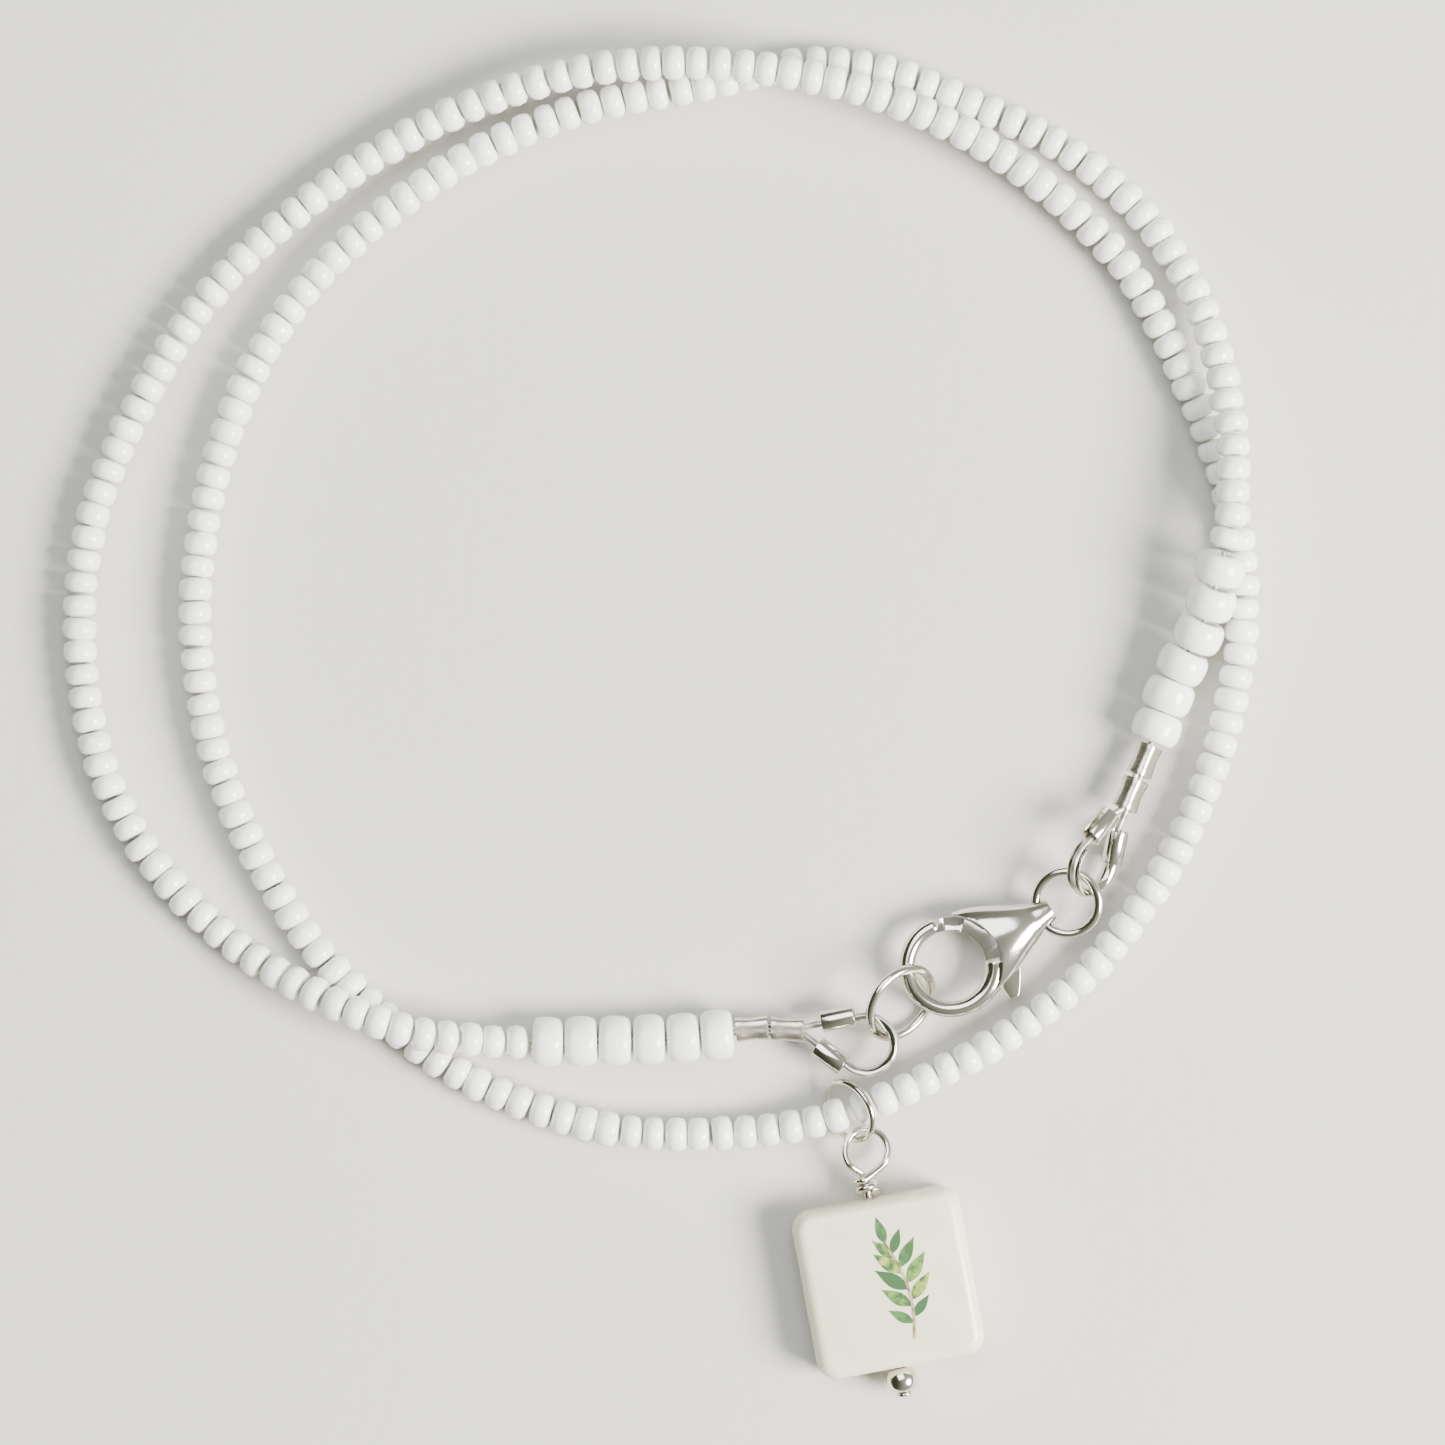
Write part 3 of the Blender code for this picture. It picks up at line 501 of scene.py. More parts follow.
SEEDS_START = END_BEAD_COUNT * END_BEAD_PITCH + SEED_END_GAP
MEETING = RISES[1].along
add_string("seed_beads_right", "seed_strand_right", SEEDS_START, MEETING - MEETING_GAP / 2)
add_string("seed_beads_left", "seed_strand_left", MEETING + MEETING_GAP / 2, STRAND.length - SEEDS_START)

# %% [markdown]
# ## The end beads
#
# Six larger beads of the same glass finish each end. They show as broad rounded discs with a wide flat hole, so
# they get more sides and a fuller belly than the seed beads.

# %% End beads
END_PROFILE = [
    (-0.4, 0.3), (-0.46, 0.42), (-0.5, 0.62), (-0.47, 0.8), (-0.37, 0.92), (-0.2, 0.985), (0.0, 1.0),
    (0.2, 0.985), (0.37, 0.92), (0.47, 0.8), (0.5, 0.62), (0.46, 0.42), (0.4, 0.3),
]
END_SIDES = 40


def add_end_beads():
    """Six beads at each end, each a copy of one model, turned and tipped a little."""
    model = bead(END_PROFILE, END_BEAD_DIAMETER, END_BEAD_LENGTH, END_SIDES)
    for number in range(1, END_BEAD_COUNT + 1):
        along = (number - 0.5) * END_BEAD_PITCH
        for end, distance in (("right", along), ("left", STRAND.length - along)):
            piece = bpy.data.objects.new("end_bead", model.data.copy())
            bpy.context.scene.collection.objects.link(piece)
            tilt = Matrix.Rotation(math.radians(DRAW.uniform(-2.5, 2.5)), 4, "Y")
            size = 1 + DRAW.uniform(-0.025, 0.005)
            shape = Matrix.Diagonal((size, size, 1 + DRAW.uniform(-0.05, 0.01), 1.0))
            place = Matrix.Translation(STRAND.at(distance)) @ facing(STRAND.heading(distance)).to_4x4()
            settle(piece, place @ tilt @ shape)
            tinted(piece, 0.4 + 0.6 * DRAW.random())
            node = f"end_bead_{end}_{number}"
            dress(piece, f"glass_{node}", WHITE_GLASS, [node], smooth=70.0)
    bpy.data.objects.remove(model)


add_end_beads()

# %% [markdown]
# ## Sterling silver
#
# Cast and drawn silver, tumbled to a mirror. Handling leaves fine scratches and a breath of warm tarnish, so the
# colour and the roughness wander a little and the surface is never quite true.


# %% Silver
def sterling_silver(name, roughness, tarnish):
    """Tumbled silver: a metal with a slightly uneven mirror."""
    material = bpy.data.materials.new(name)
    material.use_nodes = True
    tree = material.node_tree
    shader = tree.nodes["Principled BSDF"]
    where = add_node(tree, "ShaderNodeTexCoord")
    cloud = add_node(
        tree, "ShaderNodeTexNoise",
        {"Vector": where.outputs["Object"], "Scale": 1.0 / (1.6 * MM), "Detail": 3.0},
    )
    colour = add_node(
        tree, "ShaderNodeMix",
        {0: cloud.outputs["Fac"], 6: srgb("#F2F0E9"), 7: srgb(tarnish)}, data_type="RGBA",
    )
    gloss = add_node(
        tree, "ShaderNodeMapRange",
        {"Value": cloud.outputs["Fac"], "To Min": roughness * 0.6, "To Max": roughness * 1.5},
    )
    scratch = add_node(
        tree, "ShaderNodeTexNoise",
        {"Vector": where.outputs["Object"], "Scale": 1.0 / (0.22 * MM), "Detail": 4.0},
    )
    bump = add_node(
        tree, "ShaderNodeBump",
        {"Height": scratch.outputs["Fac"], "Strength": 0.1, "Distance": 0.03 * MM},
    )
    tree.links.new(colour.outputs[2], shader.inputs["Base Color"])
    tree.links.new(gloss.outputs[0], shader.inputs["Roughness"])
    tree.links.new(bump.outputs["Normal"], shader.inputs["Normal"])
    shader.inputs["Metallic"].default_value = 1.0
    return material


BRIGHT_SILVER = sterling_silver("tumbled_sterling_silver", 0.13, "#D2CEC0")
WORN_SILVER = sterling_silver("pressed_sterling_silver", 0.26, "#B9AF98")

# %% [markdown]
# ## The jump rings
#
# A jump ring is one turn of drawn wire, sawn through and closed, so a hairline seam stays. A round face is spun
# nearly all the way, and the two ends meet at that seam.

# %% Jump rings
JumpRing = namedtuple("JumpRing", "node centre heading tilt radius wire seam")
JUMP_RINGS = [
    JumpRing("end_ring", Vector((14.08, -16.3, 1.94)) * MM, 53.2, 46.6, 2.265 * MM, 0.54 * MM, 200.0),
    JumpRing("clasp_ring", Vector((23.84, -10.41, 2.01)) * MM, -50.8, 14.2, 1.86 * MM, 0.55 * MM, 75.0),
    JumpRing("pendant_ring", Vector((11.06, -22.68, 1.59)) * MM, -64.2, 49.0, 1.82 * MM, 0.4 * MM, 120.0),
]
SEAM_WIDTH = 0.03 * MM
RING_STEPS = 120
RING_SIDES = 24


def add_jump_ring(ring):
    """Spin a round face about the ring's middle and lay it in its tilt."""
    deselect()
    bpy.ops.mesh.primitive_circle_add(
        vertices=RING_SIDES, radius=ring.wire / 2, fill_type="NGON",
        location=(ring.radius, 0, 0), rotation=(math.pi / 2, 0, 0),
    )
    bpy.ops.object.mode_set(mode="EDIT")
    bpy.ops.mesh.select_all(action="SELECT")
    sweep = math.tau - SEAM_WIDTH / ring.radius
    bpy.ops.mesh.spin(steps=RING_STEPS, angle=sweep, center=(0, 0, 0), axis=(0, 0, 1))
    bpy.ops.object.mode_set(mode="OBJECT")
    piece = bpy.context.object
    bpy.ops.object.transform_apply(location=True, rotation=True, scale=True)
    heading = math.radians(ring.heading)
    tilt_axis = Vector((math.cos(heading), math.sin(heading), 0))
    tilt = Matrix.Rotation(math.radians(ring.tilt), 4, tilt_axis)
    seam = Matrix.Rotation(math.radians(ring.seam), 4, "Z")
    settle(piece, Matrix.Translation(ring.centre) @ tilt @ seam)
    dress(piece, f"silver_{ring.node}", BRIGHT_SILVER, [ring.node], smooth=60.0)


for jump_ring in JUMP_RINGS:
    add_jump_ring(jump_ring)

# %% [markdown]
# ## The wire guards
#
# A guard is stamped from sheet: two short tubes that hold the wire, and a half pipe round the bend. An open arc
# of a circle is extruded for the tubes and spun for the bend, and then given its wall.

# %% Wire guards
Guard = namedtuple("Guard", "side centre heading rise roll tube_starts")
GUARDS = [
    Guard("left", Vector((12.07, -18.75, 1.86)) * MM, -12.3, 5.3, -0.7, (0.38 * MM, 0.38 * MM)),
    Guard("right", Vector((25.29, -8.25, 2.27)) * MM, -116.1, 6.5, 49.6, (0.14 * MM, 0.7 * MM)),
]
GUARD_BEND = 1.79 * MM
GUARD_LEAN = math.radians(23)
GUARD_TUBE_LENGTH = 1.95 * MM
TUBE_RADIUS = 0.65 * MM
TUBE_WALL = 0.13 * MM
TUBE_SEAM = 14.0
CHANNEL_RADIUS = 0.46 * MM
CHANNEL_WALL = 0.11 * MM
CHANNEL_OPENING = 92.0


def guard_matrix(guard):
    """The guard's frame: X from its legs to its bend, Y towards the leg that takes the wire first."""
    heading = Matrix.Rotation(math.radians(guard.heading), 4, "Z")
    rise = Matrix.Rotation(math.radians(-guard.rise), 4, "Y")
    roll = Matrix.Rotation(math.radians(-guard.roll), 4, "X")
    return Matrix.Translation(guard.centre) @ heading @ rise @ roll


def open_arc(radius, opening):
    """A circle about Z that is open towards +X by an angle to either side, left in edit mode and selected."""
    deselect()
    bpy.ops.mesh.primitive_circle_add(vertices=72, radius=radius)
    piece = bpy.context.object
    bpy.ops.object.mode_set(mode="EDIT")
    bpy.ops.mesh.select_mode(type="VERT")
    bpy.ops.mesh.select_all(action="DESELECT")
    bpy.ops.object.mode_set(mode="OBJECT")
    for vertex in piece.data.vertices:
        vertex.select = abs(math.degrees(math.atan2(vertex.co.y, vertex.co.x))) < opening
    bpy.ops.object.mode_set(mode="EDIT")
    bpy.ops.mesh.delete(type="VERT")
    bpy.ops.mesh.select_all(action="SELECT")
    return piece


def guard_leg(lean, side, start):
    """One tube, its seam away from the bend's middle."""
    piece = open_arc(TUBE_RADIUS, TUBE_SEAM)
    bpy.ops.mesh.extrude_region_move(TRANSFORM_OT_translate={"value": (0, 0, GUARD_TUBE_LENGTH)})
    bpy.ops.object.mode_set(mode="OBJECT")
    back = Vector((-math.cos(lean), -math.sin(lean) * side, 0))
    outward = Vector((-math.sin(lean), math.cos(lean) * side, 0))
    axes = Matrix((outward, back.cross(outward), back)).transposed().to_4x4()
    settle(piece, Matrix.Translation(outward * GUARD_BEND + back * start) @ axes)
    modify(piece, "SOLIDIFY", thickness=TUBE_WALL, offset=-1.0)
    return piece


def guard_channel(lean):
    """The half pipe round the bend, open outwards, a little longer than the bend so that it runs into both tubes."""
    piece = open_arc(CHANNEL_RADIUS, CHANNEL_OPENING)
    bpy.ops.object.mode_set(mode="OBJECT")
    reach = lean + 0.18
    upright = Matrix.Rotation(math.pi / 2, 4, "X")
    start = Matrix.Rotation(-math.pi / 2 - reach, 4, "Z")
    pick(piece)
    piece.matrix_world = start @ Matrix.Translation((GUARD_BEND, 0, 0)) @ upright
    bpy.ops.object.transform_apply(location=True, rotation=True, scale=True)
    bpy.ops.object.mode_set(mode="EDIT")
    bpy.ops.mesh.select_all(action="SELECT")
    bpy.ops.mesh.spin(steps=72, angle=-math.pi - 2 * reach, center=(0, 0, 0), axis=(0, 0, 1))
    bpy.ops.object.mode_set(mode="OBJECT")
    settle(piece, Matrix.Identity(4))
    modify(piece, "SOLIDIFY", thickness=CHANNEL_WALL, offset=-1.0)
    return piece


def add_guard(guard):
    """Two tubes and the channel, joined, with their edges softened."""
    parts = [guard_channel(GUARD_LEAN)]
    for side, start in zip((1, -1), guard.tube_starts):
        parts.append(guard_leg(GUARD_LEAN, side, start))
    deselect()
    for part in parts:
        part.select_set(True)
    bpy.context.view_layer.objects.active = parts[0]
    bpy.ops.object.join()
    piece = bpy.context.object
    modify(piece, "BEVEL", width=0.02 * MM, segments=2, limit_method="ANGLE", angle_limit=math.radians(40))
    settle(piece, guard_matrix(guard))
    dress(piece, f"silver_guard_{guard.side}", BRIGHT_SILVER, [f"wire_guard_{guard.side}"], smooth=50.0)


for guard in GUARDS:
    add_guard(guard)

# %% [markdown]
# ## The crimps
#
# A crimp is a soft silver tube that pliers press flat on the wires. Its ends keep more of their round, the
# middle is dented, and the mouth is open.

# %% Crimps
CRIMP_LENGTH = 1.9 * MM
CRIMP_WIDTH = 1.56 * MM
CRIMP_HEIGHT = 1.4 * MM
CrimpPath = namedtuple("CrimpPath", "inner outer parting")
CRIMP_PATHS = {
    "left": CrimpPath(
        inner=Vector((5.35, -17.85, 1.5)) * MM,
        outer=Vector((7.42, -17.88, 1.5)) * MM,
        parting=Vector((8.5, -17.97, 1.5)) * MM,
    ),
    "right": CrimpPath(
        inner=Vector((28.43, -2.08, 1.54)) * MM,
        outer=Vector((27.57, -4.06, 1.72)) * MM,
        parting=Vector((27.15, -5.05, 1.81)) * MM,
    ),
}
CRIMP_PRESS = [(-0.5, 0.97), (-0.44, 1.0), (-0.3, 0.95), (-0.1, 0.9), (0.1, 0.91), (0.3, 0.96), (0.44, 1.0), (0.5, 0.97)]
CRIMP_BORE = [(0.5, 0.7), (0.3, 0.66), (-0.3, 0.66), (-0.5, 0.7)]


def add_crimps():
    """Four pressed tubes, each squared by its own press."""
    for guard in GUARDS:
        crimps = CRIMP_PATHS[guard.side]
        side = guard_matrix(guard).to_3x3() @ Vector((0, 1, 0))
        last_bead = STRAND.at(0.0 if guard.side == "right" else STRAND.length)
        runs = ((1, crimps.inner, crimps.outer - last_bead), (2, crimps.outer, crimps.parting - crimps.inner))
        for number, centre, run in runs:
            press = 1 + DRAW.uniform(-0.02, 0.02)
            rings = [
                Ring(at * CRIMP_LENGTH, CRIMP_WIDTH / 2 * wide, CRIMP_HEIGHT / 2 * wide * press)
                for at, wide in CRIMP_PRESS + CRIMP_BORE
            ]
            piece = turned(rings, 48, bore=True)
            for vertex in piece.data.vertices:
                flat = Vector((vertex.co.x, vertex.co.y))
                angle = math.atan2(flat.y, flat.x)
                square = 1 + 0.07 * math.cos(4 * angle + math.pi) * min(flat.length / (0.6 * MM), 1.0)
                vertex.co.x *= square
                vertex.co.y *= square
            z_axis = run.normalized()
            x_axis = (side - z_axis * side.dot(z_axis)).normalized()
            axes = Matrix((x_axis, z_axis.cross(x_axis), z_axis)).transposed().to_4x4()
            settle(piece, Matrix.Translation(centre) @ axes)
            node = f"crimp_{guard.side}_{number}"
            dress(piece, f"silver_{node}", WORN_SILVER, [node], smooth=50.0)


add_crimps()

# %% [markdown]
# ## The beading wire
#
# Seven fine steel strands under clear nylon. It shows as a smooth grey band in the guards' channels and as a
# short pale stretch beside the crimps.


# %% Beading wire
def coated_wire():
    """Nylon over twisted steel: grey, half matt, with a thin gloss on top."""
    material = bpy.data.materials.new("nylon_coated_steel_wire")
    material.use_nodes = True
    tree = material.node_tree
    shader = tree.nodes["Principled BSDF"]
    where = add_node(tree, "ShaderNodeTexCoord")
    strands = add_node(
        tree, "ShaderNodeTexWave",
        {"Vector": where.outputs["Object"], "Scale": 1.0 / (2.2 * MM), "Distortion": 1.0},
        bands_direction="DIAGONAL",
    )
    colour = add_node(
        tree, "ShaderNodeMix",
        {0: strands.outputs["Fac"], 6: srgb("#8F8C80"), 7: srgb("#C9C7BE")}, data_type="RGBA",
    )
    bump = add_node(
        tree, "ShaderNodeBump",
        {"Height": strands.outputs["Fac"], "Strength": 0.15, "Distance": 0.03 * MM},
    )
    tree.links.new(colour.outputs[2], shader.inputs["Base Color"])
    tree.links.new(bump.outputs["Normal"], shader.inputs["Normal"])
    shader.inputs["Metallic"].default_value = 0.75
    shader.inputs["Roughness"].default_value = 0.38
    shader.inputs["Coat Weight"].default_value = 0.5
    shader.inputs["Coat Roughness"].default_value = 0.15
    return material


COATED_WIRE = coated_wire()
BEADING_WIRE = 0.38 * MM
WIRE_LEG_OFFSET = 0.25 * MM
WIRE_IN_CHANNEL = 0.09 * MM


def guard_line(guard, bend):
    """The line of the wire from the far end of one tube round the bend to the other, in the guard's frame."""
    legs = []
    for side, start in zip((1, -1), guard.tube_starts):
        back = Vector((-math.cos(GUARD_LEAN), -math.sin(GUARD_LEAN) * side, 0))
        touch = Vector((-math.sin(GUARD_LEAN), math.cos(GUARD_LEAN) * side, 0)) * bend
        legs.append(touch + back * (start + GUARD_TUBE_LENGTH))
    steps = 36
    sweep = math.pi + 2 * GUARD_LEAN
    angles = [math.pi / 2 + GUARD_LEAN - sweep * step / steps for step in range(steps + 1)]
    arc = [Vector((math.cos(angle), math.sin(angle), 0)) * bend for angle in angles]
    return [legs[0]] + arc + [legs[1]]


def add_beading_wire(guard):
    """Through the end beads, out along one leg, round the guard and back along the other."""
    matrix = guard_matrix(guard)
    crimps = CRIMP_PATHS[guard.side]
    bead_end = END_BEAD_COUNT * END_BEAD_PITCH
    marks = [bead_end * (1 - step / 8) for step in range(9)]
    if guard.side == "left":
        marks = [STRAND.length - mark for mark in marks]
    offset = matrix.to_3x3() @ Vector((0, WIRE_LEG_OFFSET, 0))
    points = [STRAND.at(mark) for mark in marks]
    points += [point + offset for point in crimps]
    points += [matrix @ point for point in guard_line(guard, GUARD_BEND - WIRE_IN_CHANNEL)]
    points += [point - offset for point in reversed(crimps)]
    piece = wire(points, BEADING_WIRE, sides=16)
    node = f"beading_wire_{guard.side}"
    dress(piece, f"coated_{node}", COATED_WIRE, [node], smooth=60.0)


for guard in GUARDS:
    add_beading_wire(guard)

# %% [markdown]
# ## The trigger clasp
#
# The body is cast in one: a domed shell with a round mouth, an eye at its narrow end and a fixed hook. The shell
# is a circle extruded through its sections, the hook a curve, and Booleans cut and join them as a file and
# solder would. A small bevel gives the edges the roundness of tumbled metal.

# %% Clasp body
CLASP_AT = Vector((17.0, -14.18, 1.6)) * MM
CLASP_HEADING = math.radians(29.7)
CLASP_MATRIX = Matrix.Translation(CLASP_AT) @ Matrix.Rotation(CLASP_HEADING, 4, "Z")
HOOK_RADIUS = 2.52 * MM
HOOK_WIRE = 0.94 * MM
HOOK_TIP_ANGLE = math.radians(83)
HOOK_TIP_LENGTH = 0.14 * MM
HOOK_ROOT_ANGLE = math.radians(336)
HOOK_ROOT_FROM = 0.66
HOOK_ROOT_SHIFT = 0.12 * MM
SHELL_MOUTH = 3.04 * MM
EYE_AT = 6.06 * MM
EYE_RADIUS = 0.49 * MM
EYE_TURN = math.radians(-3.5)
SLOT_HALF = 0.4 * MM
PIVOT = Vector((3.75, 0.5, 0)) * MM
SHELL_SECTIONS = [
    (1.6, 2.72, 1.0), (2.4, 2.55, 1.18), (3.3, 2.2, 1.25), (4.2, 1.76, 1.2),
    (5.0, 1.36, 1.06), (5.6, 1.06, 0.9), (6.2, 0.84, 0.8), (6.8, 0.66, 0.68),
]
SLOT_OUTLINE = [
    (1.7, 1.25), (4.6, 1.25), (5.0, 0.9), (5.0, -1.2), (4.75, -3.2), (1.93, -3.2),
    (1.93, -2.65), (2.2, -1.7), (2.12, -1.2), (1.85, -0.8), (1.7, -0.5),
]


def hook_points():
    """The hook's middle line from its tip to its root inside the shell, and its relative thickness."""
    points, radii = [], []
    steps = 90
    for step in range(-1, steps + 1):
        share = max(step, 0) / steps
        angle = HOOK_TIP_ANGLE + (HOOK_ROOT_ANGLE - HOOK_TIP_ANGLE) * share
        outward = Vector((math.cos(angle), math.sin(angle), 0))
        root = ease((share - HOOK_ROOT_FROM) / (1 - HOOK_ROOT_FROM))
        centre = outward * (HOOK_RADIUS + HOOK_ROOT_SHIFT * root)
        if step < 0:
            centre -= Vector((-outward.y, outward.x, 0)) * HOOK_TIP_LENGTH
        points.append(centre)
        radii.append(0.86 if step < 0 else 1 + 0.34 * root)
    return points, radii


def clasp_shell():
    """The domed shell, extruded along the clasp's length."""
    sections = smooth_curve([Vector(section) * MM for section in SHELL_SECTIONS], 4)
    piece = turned([Ring(section.x, section.y, section.z) for section in sections], 56)
    along_x = Matrix(((0, 0, 1, 0), (1, 0, 0, 0), (0, 1, 0, 0), (0, 0, 0, 1)))
    return settle(piece, along_x)


def bar(radius, half, matrix=Matrix.Identity(4), sides=96):
    """A round cutter about Z."""
    deselect()
    bpy.ops.mesh.primitive_cylinder_add(vertices=sides, radius=radius, depth=2 * half)
    return settle(bpy.context.object, matrix)


def add_clasp_body():
    """Shell, mouth, hook, slot, eye and pivot in one."""
    body = clasp_shell()
    boolean(body, bar(SHELL_MOUTH, 2 * MM))
    points, radii = hook_points()
    boolean(body, wire(points, HOOK_WIRE, radii, sides=28), "UNION")
    boolean(body, prism([Vector(point) * MM for point in SLOT_OUTLINE], SLOT_HALF))
    eye = Matrix.Translation((EYE_AT, 0, 0)) @ Matrix.Rotation(EYE_TURN, 4, "Z")
    boolean(body, bar(EYE_RADIUS, 2 * MM, eye @ Matrix.Rotation(math.pi / 2, 4, "X"), 40))
    boolean(body, bar(0.28 * MM, 0.9 * MM, Matrix.Translation(PIVOT), 24), "UNION")
    modify(body, "BEVEL", width=0.05 * MM, segments=3, limit_method="ANGLE", angle_limit=math.radians(42))
    settle(body, CLASP_MATRIX)
    dress(body, "silver_clasp_body", BRIGHT_SILVER, ["clasp_body"], smooth=48.0)
    print("clasp body", len(body.data.polygons), "faces")


add_clasp_body()

# %% [markdown]
# ## The lever
#
# The gate, the web and the thumb nub are one stamping that turns on the pivot, so the piece rides on the
# lever's own body. The gate's end has a small bare flat with a thin raised border.

# %% Clasp lever
LEVER_HALF = 0.3 * MM
LEVER_INNER = 2.12 * MM
LEVER_OUTER = 2.92 * MM
GATE_GAP = 0.1 * MM
GATE_HEEL = math.radians(-20)
GATE_WEB_TOP = 0.95 * MM
WEB_OUTLINE = [
    (3.35, 1.02), (3.75, 1.14), (4.18, 1.0), (4.39, 0.5), (4.2, 0.0), (3.85, -1.2), (3.42, -2.35),
    (2.8, -3.32), (2.6, -3.5), (2.15, -3.42), (2.08, -2.7), (2.5, -1.5),
]
PLATE_FROM = math.radians(44)
PLATE_TO = math.radians(71)
PLATE_MARGIN = 0.02 * MM
PLATE_BORDER = 0.09 * MM
PLATE_HEIGHT = 0.07 * MM


def gate_edge(radius, steps=48):
    """One edge of the gate, from its end, which just clears the hook's tip as it swings, down to its heel."""
    outward = Vector((math.cos(HOOK_TIP_ANGLE), math.sin(HOOK_TIP_ANGLE), 0))
    tip = outward * HOOK_RADIUS - Vector((-outward.y, outward.x, 0)) * HOOK_TIP_LENGTH
    reach = (PIVOT - tip).length - GATE_GAP
    off_pivot = math.acos((radius ** 2 + PIVOT.length ** 2 - reach ** 2) / (2 * radius * PIVOT.length))
    start = off_pivot + math.atan2(PIVOT.y, PIVOT.x)
    angles = [start + (GATE_HEEL - start) * step / steps for step in range(steps + 1)]
    return [Vector((math.cos(angle), math.sin(angle))) * radius for angle in angles]


def gate_plate():
    """The flat at the gate's end: a shallow tray with a thin raised border."""
    steps = 12
    angles = [PLATE_FROM + (PLATE_TO - PLATE_FROM) * step / steps for step in range(steps + 1)]
    radii = (LEVER_INNER + PLATE_MARGIN, LEVER_OUTER - PLATE_MARGIN)
    outer = [Vector((math.cos(angle), math.sin(angle))) * radii[1] for angle in angles]
    inner = [Vector((math.cos(angle), math.sin(angle))) * radii[0] for angle in reversed(angles)]
    piece = prism(outer + inner, LEVER_HALF + PLATE_HEIGHT)
    pick(piece)
    bpy.ops.object.mode_set(mode="EDIT")
    bpy.ops.mesh.select_mode(type="FACE")
    bpy.ops.mesh.select_all(action="DESELECT")
    bpy.ops.object.mode_set(mode="OBJECT")
    for face in piece.data.polygons:
        face.select = face.normal.z > 0.9
    bpy.ops.object.mode_set(mode="EDIT")
    bpy.ops.mesh.inset(thickness=PLATE_BORDER)
    bpy.ops.transform.translate(value=(0, 0, -0.05 * MM))
    bpy.ops.object.mode_set(mode="OBJECT")
    return piece


def add_lever():
    """Gate, web and nub, with the plate on the gate."""
    outer = gate_edge(LEVER_OUTER)
    inner = gate_edge(LEVER_INNER)
    web = [Vector(point) * MM for point in WEB_OUTLINE]
    outline = [point for point in outer if point.y > GATE_WEB_TOP] + web + outer[-1:] + inner[::-1]
    lever = prism(outline, LEVER_HALF)
    boolean(lever, bar(0.35 * MM, 1.0 * MM, Matrix.Translation(PIVOT), 32))
    modify(lever, "BEVEL", width=0.07 * MM, segments=4, limit_method="ANGLE", angle_limit=math.radians(40))
    plate = gate_plate()
    deselect()
    plate.select_set(True)
    lever.select_set(True)
    bpy.context.view_layer.objects.active = lever
    bpy.ops.object.join()
    settle(lever, CLASP_MATRIX)
    dress(lever, "silver_clasp_lever", BRIGHT_SILVER, ["clasp_lever"], body="lever", smooth=48.0)


add_lever()

# %% [markdown]
# ## The head pin
#
# One length of wire: a flat head under the small bead, the straight shank through the tile, a loop round the
# pendant ring and nearly two wraps back down its own neck. It is a single curve with a radius at each point.

# %% Head pin and its bead
TILE_AT = Vector((13.35, -32.71, 1.5)) * MM
TILE_HEADING = math.radians(-79.5)
TILE_SIDE = 10.0 * MM
TILE_THICKNESS = 3.0 * MM
PIN_OFFSET = 0.24 * MM
TILE_MATRIX = Matrix.Translation(TILE_AT) @ Matrix.Rotation(TILE_HEADING, 4, "Z")
PIN_MATRIX = TILE_MATRIX @ Matrix.Translation((0, -PIN_OFFSET, 0))
PIN_WIRE = 0.45 * MM
PIN_BEAD_DIAMETER = 1.9 * MM
PIN_BEAD_LENGTH = 1.4 * MM
PIN_BEAD_GAP = 0.1 * MM
PIN_HEAD_DIAMETER = 0.96 * MM
PIN_HEAD_HEIGHT = 0.24 * MM
EYE_CENTRE = Vector((12.08, -25.02, 1.45)) * MM
LOOP_HALF = 1.27 * MM
LOOP_DIP = 0.2 * MM
LOOP_ROLL = 0.34 * MM
WRAP_RADIUS = 0.5 * MM
WRAP_PITCH = 0.5 * MM
WRAP_TURNS = 1.75
WRAP_START = 0.12 * MM
WRAP_CLEAR = 0.32 * MM
PIN_PROFILE = [(-0.5, 0.37), (-0.5, 0.6), (-0.42, 0.82), (-0.2, 0.97), (0.0, 1.0), (0.2, 0.97), (0.42, 0.82), (0.5, 0.6), (0.5, 0.37)]


def loop_points(axis, right):
    """The loop, which leans down to the strand and rises on its left."""
    points = []
    for step in range(14):
        angle = math.radians(215 - 270 * step / 13)
        across = right * LOOP_HALF * math.cos(angle)
        along = axis * LOOP_HALF * math.sin(angle)
        up = Vector((0, 0, -LOOP_DIP * math.sin(angle) - LOOP_ROLL * math.cos(angle)))
        points.append(EYE_CENTRE + across + along + up)
    return points


def wrap_points(turn_off, axis, right):
    """The wraps from the loop back down the neck, starting over its top."""
    points = []
    for step in range(round(WRAP_TURNS * 12) + 1):
        turn = math.tau * step / 12
        centre = turn_off - axis * (WRAP_START + WRAP_PITCH * step / 12)
        points.append(centre + (Vector((0, 0, 1)) * math.cos(turn) - right * math.sin(turn)) * WRAP_RADIUS)
    return points


